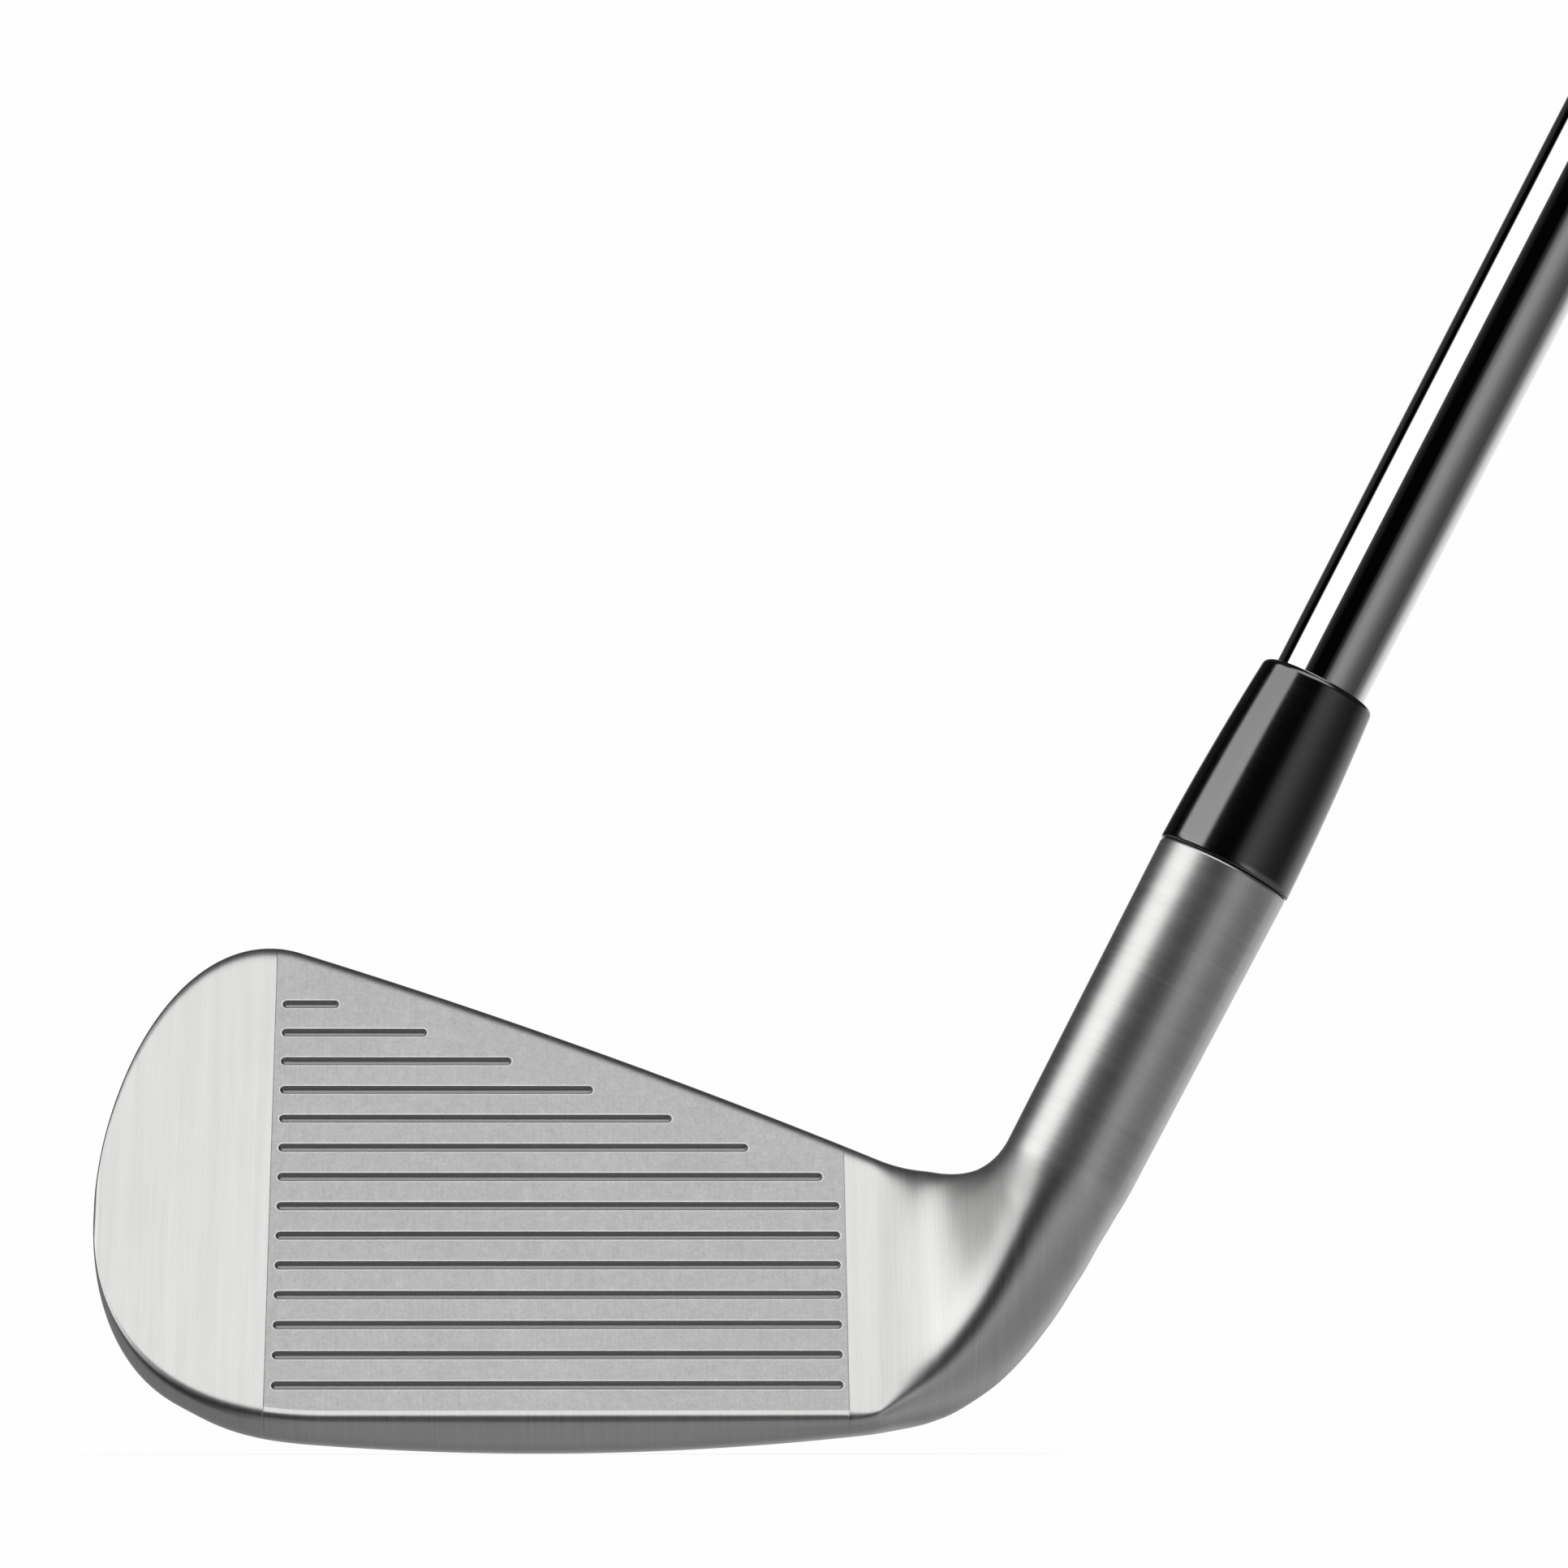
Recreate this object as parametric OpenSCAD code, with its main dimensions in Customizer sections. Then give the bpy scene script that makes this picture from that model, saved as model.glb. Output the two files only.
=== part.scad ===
// Iron golf club, right handed, standing at address.
// x runs heel (+) to toe (-), the face looks to -y, z is up.
// The origin is the point where the shaft axis meets the ground plane,
// which is the point a club's length is measured from.

/* [Club] */
// Length along the shaft axis from the ground to the end of the grip
club_len = 940; // [910:1:965]
// Lie angle between the shaft axis and the ground
lie = 62.3; // [61:0.1:64]
// Loft of the face, leaning back from vertical
loft = 28.3; // [26:0.1:31]
// Distance of the leading edge ahead of the shaft axis
edge_ahead = 4.0; // [3.5:0.1:4.5]
// Height of the leading edge above the lowest point of the sole
edge_z = 3.6; // [3.2:0.1:4]

/* [Blade] */
// Length of the blade from the origin to the toe
blade_len = 81.1; // [79:0.1:84]
// Height of the topline above the leading edge, up the face, at mid blade
top_mid = 41.2; // [39:0.1:43]
// Fall of the topline for each mm towards the heel, at mid blade
top_fall = 0.424; // [0.4:0.001:0.44]
// Height of the widest point of the toe, up the face
toe_mid = 23.5; // [21:0.1:26]
// Width of the topline, square to the face
topline_w = 5.8; // [5:0.1:6.4]
// Width of the sole from leading to trailing edge, at mid blade
sole_w = 22; // [21:0.1:23]
// Heel to toe radius of the sole
sole_r = 290; // [250:5:350]
// Height of the rear wall of the sole
muscle_h = 11; // [10:0.1:12]

/* [Face plate] */
// Toe side edge of the face plate
plate_toe = -63.8; // [-66:0.1:-61]
// Heel side edge of the face plate
plate_heel = -7.0; // [-9:0.1:-5]
// Thickness of the face plate
plate_t = 2.3; // [2:0.1:2.6]
// Depth of the face plate below the toe and heel lands
plate_sink = 0.12; // [0.1:0.01:0.2]
// Number of score lines
groove_n = 14; // [12:1:14]
// Distance between score lines, up the face
groove_pitch = 3.35; // [3.2:0.05:3.4]
// Height of the lowest score line above the leading edge, up the face
groove_v0 = 3.5; // [3.2:0.1:4]
// Width of a score line
groove_w = 0.85; // [0.7:0.05:0.95]
// Depth of a score line
groove_d = 0.42; // [0.3:0.01:0.5]

/* [Cavity] */
// Width of the rim left around the cavity
rim_w = 5.6; // [5:0.1:6.5]
// Height of the cavity floor edge above the leading edge, up the face
cavity_v0 = 16; // [15.5:0.1:17]
// Width of the ledge that carries the badge around the window
ledge_w = 3; // [2.5:0.1:4]

/* [Hosel] */
// Outer diameter of the hosel at its mouth
hosel_d = 13.6; // [13.2:0.1:14]
// Height of the hosel mouth along the shaft axis
hosel_top = 64.6; // [62:0.1:68]
// Depth that the shaft goes into the hosel
seat_len = 32; // [28:0.5:33]
// Thickness of the epoxy around the shaft tip
glue_t = 0.1; // [0.05:0.01:0.15]

/* [Ferrule] */
// Length of the ferrule
ferrule_len = 20.6; // [16:0.1:25]
// Diameter of the ferrule at the hosel
ferrule_d = 13.85; // [13.7:0.01:14.2]
// Diameter of the ferrule at its upper end
ferrule_top_d = 11.9; // [11.4:0.1:12.4]

/* [Shaft] */
// Diameter of the shaft tip
tip_d = 9.02; // [8.8:0.01:9.2]
// Growth of the shaft's diameter for each mm of the tip section
tip_taper = 0.0088; // [0.008:0.0001:0.0095]
// Diameter of the shaft butt
butt_d = 15.24; // [14.9:0.01:15.5]
// Length of the tip section below the first step
tip_len = 230; // [200:5:250]
// Number of steps in the shaft
step_n = 11; // [8:1:11]
// Distance between steps
step_pitch = 34; // [30:1:35]
// Wall of the shaft at the butt
shaft_wall = 0.42; // [0.38:0.01:0.5]

/* [Grip] */
// Length of the grip sleeve, without its cap
grip_len = 262; // [250:1:270]
// Diameter of the grip's mouth
grip_mouth_d = 17.6; // [17.2:0.1:18.5]
// Diameter of the grip under the cap
grip_butt_d = 26.2; // [25:0.1:27.5]
// Diameter of the grip cap
cap_d = 28; // [27.6:0.1:29]
// Diameter of the vent hole in the grip cap
vent_d = 3.2; // [2.5:0.1:4]

/* [Hidden] */
$fn = 96;

fit_gap = 0.05;          // gap around the weights
slip_gap = 0.005;        // gap around the epoxy, and inside the band and tape

// Blade outline: x positions, and heights up the face unless noted
toe_x = -blade_len;
mid_x = -30;             // mid blade
top_curve = 0.001;       // bend of the topline
top_toe_x = -61.5;       // where the topline starts to round into the toe
edge_toe_x = -57;        // where the leading edge does
sole_toe_x = -58.5;      // where the sole does
edge_low = -0.6;         // leading edge at mid blade
sole_low_x = -37;        // lowest point of the sole
sole_toe_rise = 22;      // rise of the sole at the toe, in z

// The pivot is the centre of the crotch curve between blade and hosel.
// The rings of the head skin fan out round it, turning by the lie angle.
pivot_x = 1.9;
pivot_z = 34.2;
pivot_to_axis = pivot_z * cos(lie) - pivot_x * sin(lie);
pivot_along = pivot_x * cos(lie) + pivot_z * sin(lie);  // its height along the shaft axis

// Depths behind the face
floor_depth = plate_t + 1.2;    // cavity floor
tape_t = 0.3;
badge_base_t = 1.6;
badge_plate_t = 0.8;

// Weight ports, cut down from the cavity ledge
port_depth = 9;          // centre line behind the face
port_w = 7.6;
port_len = 9;
port_cap = 1.2;          // thickness of the caps
toe_port_x = [-61, -46];
heel_port_x = -18.5;

// Heights along the shaft axis
tip_a = hosel_top - seat_len;
steps_a = tip_a + tip_len;                  // first step
plain_a = steps_a + step_n * step_pitch;    // plain butt section
cap_h = 5;
grip_end_a = club_len - cap_h;
grip_a = grip_end_a - grip_len;             // mouth of the grip
butt_a = club_len - 5.4;                    // end of the shaft, inside the grip

tip_end_d = tip_d + tip_taper * tip_len;
step_d = (butt_d - tip_end_d) / step_n;     // growth at each step
tip_wall = 1.15;
plug_r = tip_d / 2 - tip_wall - fit_gap;
tape_r = butt_d / 2 + 0.25;

// ---- Curves ----

function clamp01(x) = min(1, max(0, x));
function ease(x) = let (part = clamp01(x)) part * part * (3 - 2 * part);
function mix(a, b, part) = a + (b - a) * part;
// Smooth maximum of two lengths.
function smooth_max(a, b) = pow(pow(a, 5) + pow(b, 5), 0.2);
// Rounded fall from 1 to 0 as part goes from 0 to 1.
function arch(part, power, root = 2) = pow(max(0, 1 - pow(part, power)), 1 / root);

// ---- Blade outline along x ----

// [y, z] of a point from its depth behind the face and its height up the face.
function face_yz(depth, up) =
    [-edge_ahead + up * sin(loft) + depth * cos(loft),
     edge_z + up * cos(loft) - depth * sin(loft)];

function toe_part(x, from) = clamp01((from - x) / (from - toe_x));
function topline_up(x) = top_mid - top_fall * (x - mid_x) - top_curve * pow(x - mid_x, 2);

// Topline, rounded down into the toe and swept up at the heel.
function top_edge_up(x) =
    let (drop = topline_up(toe_x) - toe_mid)
    0.5 + topline_up(x) - drop * (1 - arch(toe_part(x, top_toe_x), 1.95, 1.8))
    + (x > -4 ? 0.038 * pow(x + 4, 2) : 0);

// Leading edge, rounded up into the toe.
function low_edge_up(x, from = edge_toe_x) =
    mix(toe_mid, edge_low, arch(toe_part(x, from), 2.4, 2.4));

// Sole, kept under the leading edge by a smooth minimum.
function sole_z(x) =
    let (part = toe_part(x, sole_toe_x),
         curve = pow(x - sole_low_x, 2) / (2 * sole_r) + sole_toe_rise * (1 - arch(part, 2.9)),
         limit = edge_z + (low_edge_up(x, -64) + 0.3 * (1 - part)) * cos(loft) - 0.12)
    (curve + limit - norm([curve - limit, 0.3 * clamp01(3 * part)])) / 2;

// Rounding of the toe end seen from above, from 0 at the toe to 1 at the given length.
function toe_round(x, length) = arch(1 - clamp01((x - toe_x) / length), 2);
function sole_depth(x) =
    let (part = clamp01((-45 - x) / (-44.2 - toe_x)))
    sole_w * arch(part, 2.2) * mix(0.45, 1, toe_round(x, 3));

// ---- Blade section ----

// Corners of the section at x, each [y, z, rounding length].
// The edges melt into the round hosel as the section nears it, measured by reach.
function corners(x, reach) =
    let (low = low_edge_up(x),
         top = top_edge_up(x),
         melt = ease((reach + 7) / 16),
         slim = toe_round(x, 3.5),
         front = 0.7 * (1 - toe_round(x, 0.9)),
         edge = face_yz(front, low),
         top_front = face_yz(front, top),
         top_back = face_yz(max(front + 0.5, topline_w * slim), top - 0.35 * slim),
         sole = sole_z(x),
         size = clamp01((top_front[1] - edge[1]) / 28),
         rear = smooth_max(sole_depth(x),
                           (max(front + 0.5, topline_w * slim) + muscle_h * size * sin(loft))
                           / cos(loft)))
    [[edge[0], edge[1], mix(1.3, 6, melt)],
     [top_front[0], top_front[1], mix(2.4, 3, melt)],
     [top_back[0], top_back[1], mix(1.8, 3.5, melt)],
     [edge[0] + rear, sole + muscle_h * size, 3.2],
     [edge[0] + rear * 0.985, sole + 2.6 * size, 2.6],
     [edge[0] + rear * 0.70, sole + 0.02, 5.5],
     [edge[0] + rear * mix(0.22, 0.42, melt), sole + 0.02, 4.5]];

// For each corner: steps of its rounding, points on the straight that follows,
// and the angle round the hosel that it turns into,
// from the front (0) over the top (90) to the back (180).
arc_steps = [3, 3, 3, 4, 3, 3, 3];
run_points = [3, 0, 3, 0, 0, 1, 0];
corner_angles = [0, 74, 108, 196, 222, 262, 316];
corner_half = 9;         // half the angle taken by a rounding

function xy(point) = [point[0], point[1]];
// The point at the wanted distance from one corner to another, short of half way.
function toward(from, to, want) =
    from + (to - from) * (min(want, 0.46 * norm(to - from)) / max(1e-6, norm(to - from)));
function bezier(a, b, c, part) =
    a * (1 - part) * (1 - part) + b * 2 * part * (1 - part) + c * part * part;

function blade_ring(x, reach) =
    let (corner = corners(x, reach), count = len(corner))
    [for (i = [0:count - 1])
        let (after = corner[(i + 1) % count],
             here = xy(corner[i]),
             last = xy(corner[(i + count - 1) % count]),
             next = xy(after),
             arc_start = toward(here, last, corner[i][2]),
             arc_end = toward(here, next, corner[i][2]),
             next_start = toward(next, here, after[2]))
        each concat(
            [for (j = [0:arc_steps[i]]) bezier(arc_start, here, arc_end, j / arc_steps[i])],
            [for (j = [1:run_points[i]]) mix(arc_end, next_start, j / (run_points[i] + 1))])];

// Angle round the hosel of every point of a ring.
ring_angles = [for (i = [0:len(arc_steps) - 1])
    let (here = corner_angles[i],
         next = i == len(arc_steps) - 1 ? 360 : corner_angles[i + 1])
    each concat(
        [for (j = [0:arc_steps[i]]) here - corner_half + 2 * corner_half * j / arc_steps[i]],
        [for (j = [1:run_points[i]])
            mix(here + corner_half, next - corner_half, j / (run_points[i] + 1))])];
ring_n = len(ring_angles);

// ---- Head skin ----

// Start and end of the change from blade to round hosel: [angle, reach].
blend_start = [[0, -7], [90, -3], [180, -12], [250, -5.5], [316, -5.5], [360, -7]];
blend_end = [[0, 15], [90, 22], [180, 25], [250, 23.5], [316, 22], [360, 15]];

function hosel_r(along) =
    mix(hosel_d / 2 - 0.3, hosel_d / 2, (along - pivot_along) / (hosel_top - pivot_along));

// One ring of the head skin, each point as [y, distance below the pivot].
// A negative station is a plane x = pivot_x + station,
// a positive one a plane turned by that many degrees round the pivot.
// The change starts nearer the fan where the ring is nearer the pivot.
function ring(station) =
    let (reach = station < 0 ? station : station * 0.436,
         blade = blade_ring(pivot_x + min(0, station), reach),
         arc = station < 0 ? station : station * 0.5,
         swell = 0.45 * exp(-pow(arc / 3.2, 2)) - 0.22 * exp(-pow((station - 23) / 9, 2)),
         radius = hosel_r(pivot_along) - 0.03)
    [for (j = [0:ring_n - 1])
        let (angle = ring_angles[j],
             turned = (angle + 360) % 360,
             below = pivot_z - blade[j][1],
             here = station > 0 ? reach : station * 25 / max(4, below),
             from = lookup(turned, blend_start),
             to = lookup(turned, blend_end),
             on_hosel = [-radius * cos(angle), pivot_to_axis - radius * sin(angle)],
             underside = pow(cos(90 * clamp01(abs(turned - 278) / 62)), 2))
        mix([blade[j][0], below], on_hosel, ease((here - from) / (to - from)))
        + [0, swell * underside]];

// The rings between blade and hosel are evened out: each point moves towards
// the mean of its neighbours, then every ring is stretched back to its own height.
function looseness(station) =
    station < 0 ? ease((station + 6.2) / 4.6) : 1 - ease((station - 44) / (lie - 44));
function relax(grid, weights, passes) = passes == 0 ? grid : relax(
    [for (i = [0:len(grid) - 1]) weights[i] == 0 ? grid[i]
        : [for (j = [0:ring_n - 1])
            mix(grid[i][j],
                (grid[i - 1][j] + grid[i + 1][j]
                 + grid[i][(j + 1) % ring_n] + grid[i][(j + ring_n - 1) % ring_n]) / 4,
                0.6 * weights[i])]],
    weights, passes - 1);
function heights(points) = [for (point = points) point[1]];
function stretch(points, model) =
    let (low = min(heights(points)), high = max(heights(points)),
         model_low = min(heights(model)), model_high = max(heights(model)))
    [for (point = points)
        [point[0],
         model_low + (point[1] - low) * (model_high - model_low) / (high - low)]];
function in_space(station, points) =
    let (turned = max(0, station))
    [for (point = points)
        [pivot_x + min(0, station) + point[1] * sin(turned),
         point[0],
         pivot_z - point[1] * cos(turned)]];

// Sections of the blade by x, closest together at the toe, then the fan by angle.
toe_sections = [for (i = [0:12]) toe_x + 0.02 + 31 * (1 - cos(90 * pow(i / 13, 1.15)))];
mid_sections = [for (i = [0:4]) -49.07 + i * 8.3];
heel_sections = [for (i = [0:5]) -8.37 + i * 1.73];
fan_stations = [for (i = [0:13]) lie * i / 13];
stations = concat(
    [for (x = concat(toe_sections, mid_sections, heel_sections)) x - pivot_x],
    fan_stations);

module head_skin() {
    raw = [for (station = stations) ring(station)];
    even = relax(raw, [for (station = stations) looseness(station)], 11);
    count = len(raw);
    rows = [for (i = [0:count - 1]) in_space(stations[i], stretch(even[i], raw[i]))];
    toe_centre = [for (axis = [0:2])
        [for (point = rows[0]) point[axis]] * [for (point = rows[0]) 1] / ring_n];
    hosel_centre = [pivot_to_axis * sin(lie) + pivot_x, 0, pivot_z - pivot_to_axis * cos(lie)];
    points = concat([for (row = rows) each row], [toe_centre - [0.05, 0, 0], hosel_centre]);
    sides = [for (i = [0:count - 2], j = [0:ring_n - 1])
        let (k = (j + 1) % ring_n,
             row = i * ring_n,
             next_row = (i + 1) * ring_n)
        each [[row + j, row + k, next_row + k], [row + j, next_row + k, next_row + j]]];
    last_row = (count - 1) * ring_n;
    toe_end = [for (j = [0:ring_n - 1]) [count * ring_n, (j + 1) % ring_n, j]];
    hosel_end = [for (j = [0:ring_n - 1])
        [count * ring_n + 1, last_row + j, last_row + (j + 1) % ring_n]];
    polyhedron(points, concat(sides, toe_end, hosel_end), convexity = 8);
}

// ---- Frames ----

// Children drawn with x as it is, y up the face, z back into the head.
module on_face()
    translate([0, -edge_ahead, edge_z]) rotate([-loft, 0, 0]) rotate([90, 0, 0])
        mirror([0, 0, 1]) children();

// Children drawn with z along the shaft axis, from the ground up.
module on_axis() rotate([0, 90 - lie, 0]) children();

// ---- Flat outlines ----

module stadium(x0, x1, y, width) {
    translate([(x0 + x1) / 2, y]) square([x1 - x0, width], center = true);
    for (x = [x0, x1]) translate([x, y]) circle(d = width, $fn = 32);
}

// Outline of the cavity, kept inside the blade by the inset.
// It closes at these heights up the face at its toe and heel ends.
cavity_toe_up = 24;
cavity_heel_up = 20;
cavity_n = 18;
function cavity_heel_x(inset) = -5 - inset * 0.4;
function cavity_toe_arch(x, from, inset) =
    arch(clamp01((from - x) / (blade_len + from - inset)), 2.4);
function cavity_heel_arch(x, from, inset) =
    arch(clamp01((x - from) / (cavity_heel_x(inset) - from)), 2);
function cavity_top(x, inset) =
    mix(cavity_heel_up,
        mix(cavity_toe_up, topline_up(x) - inset * 1.06, cavity_toe_arch(x, -58, inset)),
        cavity_heel_arch(x, -16, inset));
function cavity_bottom(x, inset, floor_up) =
    mix(cavity_heel_up,
        mix(cavity_toe_up, floor_up, cavity_toe_arch(x, -62, inset)),
        cavity_heel_arch(x, -14, inset));

module cavity_outline(inset, floor_up) {
    places = [for (i = [0:cavity_n])
        mix(toe_x + inset, cavity_heel_x(inset), (1 - cos(180 * i / cavity_n)) / 2)];
    polygon(concat(
        [for (x = places) [x, cavity_top(x, inset)]],
        [for (i = [cavity_n - 1:-1:1])
            [places[i], cavity_bottom(places[i], inset, floor_up)]]));
}

// Window behind the face plate, inside the badge ledge.
module window_outline(gap) {
    inset = ledge_w + gap;
    x0 = plate_toe + inset;
    x1 = plate_heel - inset;
    polygon([[x0, cavity_v0 + inset],
             [x1, cavity_v0 + inset],
             [x1, topline_up(x1) - rim_w - inset],
             [x0, topline_up(x0) - rim_w - inset]]);
}

// ---- Head ----

// Port shapes between two distances below the cavity ledge.
module ports(from, to, gap = 0, toe = true, heel = true)
    on_face() translate([0, cavity_v0 - to, 0]) rotate([-90, 0, 0]) {
        if (toe)
            linear_extrude(to - from) mirror([0, 1])
                stadium(toe_port_x[0], toe_port_x[1], port_depth, port_w - 2 * gap);
        if (heel)
            translate([heel_port_x, -port_depth, 0])
                cylinder(d = port_w - 2 * gap, h = to - from);
    }

// Block between the ends of the face plate, taller than the face.
module plate_block(end_gap, from, to)
    on_face() translate([plate_toe + end_gap, -8, from])
        cube([plate_heel - plate_toe - 2 * end_gap, 72, to - from]);

module head_body() color([0.72, 0.72, 0.73])
    difference() {
        union() {
            head_skin();
            on_axis() translate([0, 0, pivot_along - 0.3])
                cylinder(r1 = hosel_r(pivot_along), r2 = hosel_d / 2,
                         h = hosel_top - pivot_along + 0.3);
        }
        // seat of the face plate
        plate_block(end_gap = 0, from = -3, to = plate_t);
        // window behind the plate
        on_face() translate([0, 0, plate_t - 0.2]) linear_extrude(2) window_outline(0);
        // cavity
        on_face() translate([0, 0, floor_depth]) linear_extrude(30)
            cavity_outline(rim_w, cavity_v0);
        ports(from = -3, to = port_len);
        // shaft bore, with a flat end under the shaft tip
        on_axis() translate([0, 0, tip_a - 3])
            cylinder(r1 = bore_r(tip_a - 3), r2 = bore_r(hosel_top + 1), h = seat_len + 4);
    }

// Where the topline, lowered by 5.2, comes down to a height up the face.
function groove_limit(up) =
    (sqrt(top_fall * top_fall + 4 * top_curve * (top_mid - up - 5.2)) - top_fall)
    / (2 * top_curve) + mid_x;

module face_plate() color([0.66, 0.66, 0.68])
    difference() {
        intersection() {
            head_skin();
            plate_block(end_gap = 0.02, from = plate_sink, to = plate_t);
        }
        for (i = [0:groove_n - 1])
            let (up = groove_v0 + i * groove_pitch,
                 start = plate_toe + 1.15,
                 end = min(plate_heel - 1.0, groove_limit(up)))
            on_face() translate([0, 0, -1]) linear_extrude(1 + plate_sink + groove_d)
                stadium(start, max(start + 1, end), up, groove_w);
    }

module toe_weight() color([0.35, 0.35, 0.37])
    ports(from = port_cap, to = port_len, gap = fit_gap, heel = false);
module heel_weight() color([0.35, 0.35, 0.37])
    ports(from = port_cap, to = port_len, gap = fit_gap, toe = false);
module weight_caps() color([0.7, 0.7, 0.72])
    ports(from = fit_gap, to = port_cap, gap = fit_gap);

// Block that fills the window, level with the back of the tape.
module face_damper() color([0.12, 0.12, 0.13])
    on_face() translate([0, 0, plate_t]) linear_extrude(floor_depth + tape_t - plate_t)
        window_outline(0.25);

module badge_tape() color([0.85, 0.85, 0.82])
    on_face() translate([0, 0, floor_depth]) linear_extrude(tape_t) difference() {
        cavity_outline(rim_w + 0.6, cavity_v0 + 0.6);
        window_outline(0);
    }

// Layer of the badge, held in from the cavity wall.
module badge_layer(depth, thickness, inset)
    on_face() translate([0, 0, depth]) linear_extrude(thickness)
        cavity_outline(rim_w + inset, cavity_v0 + inset);
module badge_base() color([0.1, 0.1, 0.11])
    badge_layer(depth = floor_depth + tape_t, thickness = badge_base_t, inset = 0.35);
module badge_plate() color([0.6, 0.61, 0.63])
    badge_layer(depth = floor_depth + tape_t + badge_base_t,
                thickness = badge_plate_t, inset = 3.2);

// ---- Shaft and ferrule ----

// Outer radius of the shaft's tip section, and radius of the hosel bore round it.
function tip_r(along) = (tip_d + tip_taper * (along - tip_a)) / 2;
function bore_r(along) = tip_r(along) + glue_t;

// Stepped outside, and a bore that narrows towards the tip.
module shaft() color([0.8, 0.8, 0.82]) on_axis() {
    step_rise = 1.2;     // length over which a step grows
    outside = concat(
        [[tip_d / 2, tip_a]],
        [for (i = [0:step_n - 1])
            let (along = steps_a + i * step_pitch, radius = (tip_end_d + step_d * i) / 2)
            each [[radius, along], [radius + step_d / 2, along + step_rise]]],
        [[butt_d / 2, butt_a]]);
    inside = [[butt_d / 2 - shaft_wall, butt_a],
              [butt_d / 2 - shaft_wall, plain_a],
              [tip_end_d / 2 - 0.48, steps_a],
              [tip_r(tip_a + 70) - 0.75, tip_a + 70],
              [tip_d / 2 - tip_wall, tip_a + 34],
              [tip_d / 2 - tip_wall, tip_a]];
    rotate_extrude() polygon(concat(outside, inside));
}

// Disc under the shaft tip, with a plug up the shaft that ends in a taper.
module tip_weight() color([0.75, 0.6, 0.3]) on_axis() {
    plug_len = 22;
    overlap = 0.1;
    translate([0, 0, tip_a - 1.4]) cylinder(r = tip_d / 2 - 0.35, h = 1.35);
    translate([0, 0, tip_a - overlap]) cylinder(r = plug_r, h = plug_len);
    translate([0, 0, tip_a + plug_len - 2 * overlap])
        cylinder(r1 = plug_r, r2 = plug_r - 0.9, h = 1.6);
}

// Epoxy: a thin conical sleeve round the shaft tip and a fillet inside the ferrule.
module hosel_epoxy() color([0.75, 0.7, 0.5]) on_axis()
    rotate_extrude() polygon([
        [tip_r(tip_a) + slip_gap, tip_a],
        [bore_r(tip_a) - slip_gap, tip_a],
        [bore_r(hosel_top) - slip_gap, hosel_top],
        [bore_r(hosel_top) + 0.5, hosel_top + 0.02],
        [bore_r(hosel_top) - 0.02, hosel_top + 0.9],
        [tip_r(hosel_top + 1) + slip_gap, hosel_top + 1]]);

function ferrule_r(part) =
    mix(ferrule_d / 2, ferrule_top_d / 2, 0.35 * part + 0.65 * part * part);
module ferrule() color([0.05, 0.05, 0.05]) on_axis() {
    low = hosel_top + 0.03;
    high = hosel_top + ferrule_len;
    inner_a = hosel_top + 1.2;      // where the bore closes onto the shaft
    bore_gap = 0.01;
    count = 10;
    rotate_extrude() polygon(concat(
        [[bore_r(hosel_top) + 0.6, low], [ferrule_d / 2 - 0.25, low]],
        [for (i = [0:count]) [ferrule_r(i / count), mix(low + 0.25, high - 0.7, i / count)]],
        [[ferrule_top_d / 2 - 0.2, high - 0.25],
         [ferrule_top_d / 2 - 0.75, high],
         [tip_r(high) + bore_gap, high],
         [tip_r(inner_a) + bore_gap, inner_a],
         [bore_r(hosel_top) + 0.02, hosel_top + 1.1]]));
}

// Sleeve on the plain butt of the shaft, hollowed by a longer cylinder.
module butt_sleeve(from, radius, height, cut_height)
    on_axis() translate([0, 0, from]) difference() {
        cylinder(r = radius, h = height);
        translate([0, 0, -1]) cylinder(r = butt_d / 2 + slip_gap, h = cut_height);
    }

module shaft_band() color([0.15, 0.16, 0.18])
    butt_sleeve(from = plain_a + 2, radius = butt_d / 2 + 0.12, height = 40, cut_height = 42);

// ---- Grip ----

module grip_tape() color([0.8, 0.78, 0.7])
    butt_sleeve(from = grip_a + 3, radius = tape_r,
                height = butt_a - grip_a - 3, cut_height = grip_len + 20);

function grip_r(part) =
    mix(grip_mouth_d / 2, grip_butt_d / 2, 0.78 * part + 0.22 * part * part * part);
module grip() color([0.09, 0.09, 0.09]) on_axis() {
    count = 16;
    shaft_fit_r = butt_d / 2 + 0.02;
    tape_fit_r = tape_r + 0.02;
    rotate_extrude() polygon(concat(
        [[shaft_fit_r, grip_a],
         [grip_mouth_d / 2 - 0.5, grip_a],
         [grip_mouth_d / 2, grip_a + 0.5]],
        [for (i = [1:count]) [grip_r(i / count), mix(grip_a, grip_end_a, i / count)]],
        [[tape_fit_r, grip_end_a],
         [tape_fit_r, grip_a + 2.6],
         [shaft_fit_r, grip_a + 2.4]]));
}

// Rim of the cap: [distance in from the cap's radius, height above the grip].
cap_rim = [[0.4, 0.5], [0, 1.4], [0, 2.4], [0.8, 3.6], [2.6, 4.5], [5, cap_h]];

// Cap: a disc with a rounded rim, vented on its axis.
module grip_cap() color([0.07, 0.07, 0.07]) on_axis() {
    base_a = grip_end_a + 0.02;
    difference() {
        rotate_extrude() polygon(concat(
            [[0, base_a], [grip_butt_d / 2 + 0.3, base_a]],
            [for (point = cap_rim) [cap_d / 2 - point[0], grip_end_a + point[1]]],
            [[0, grip_end_a + cap_h]]));
        translate([0, 0, grip_end_a - 1]) cylinder(d = vent_d, h = 8);
    }
}

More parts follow.
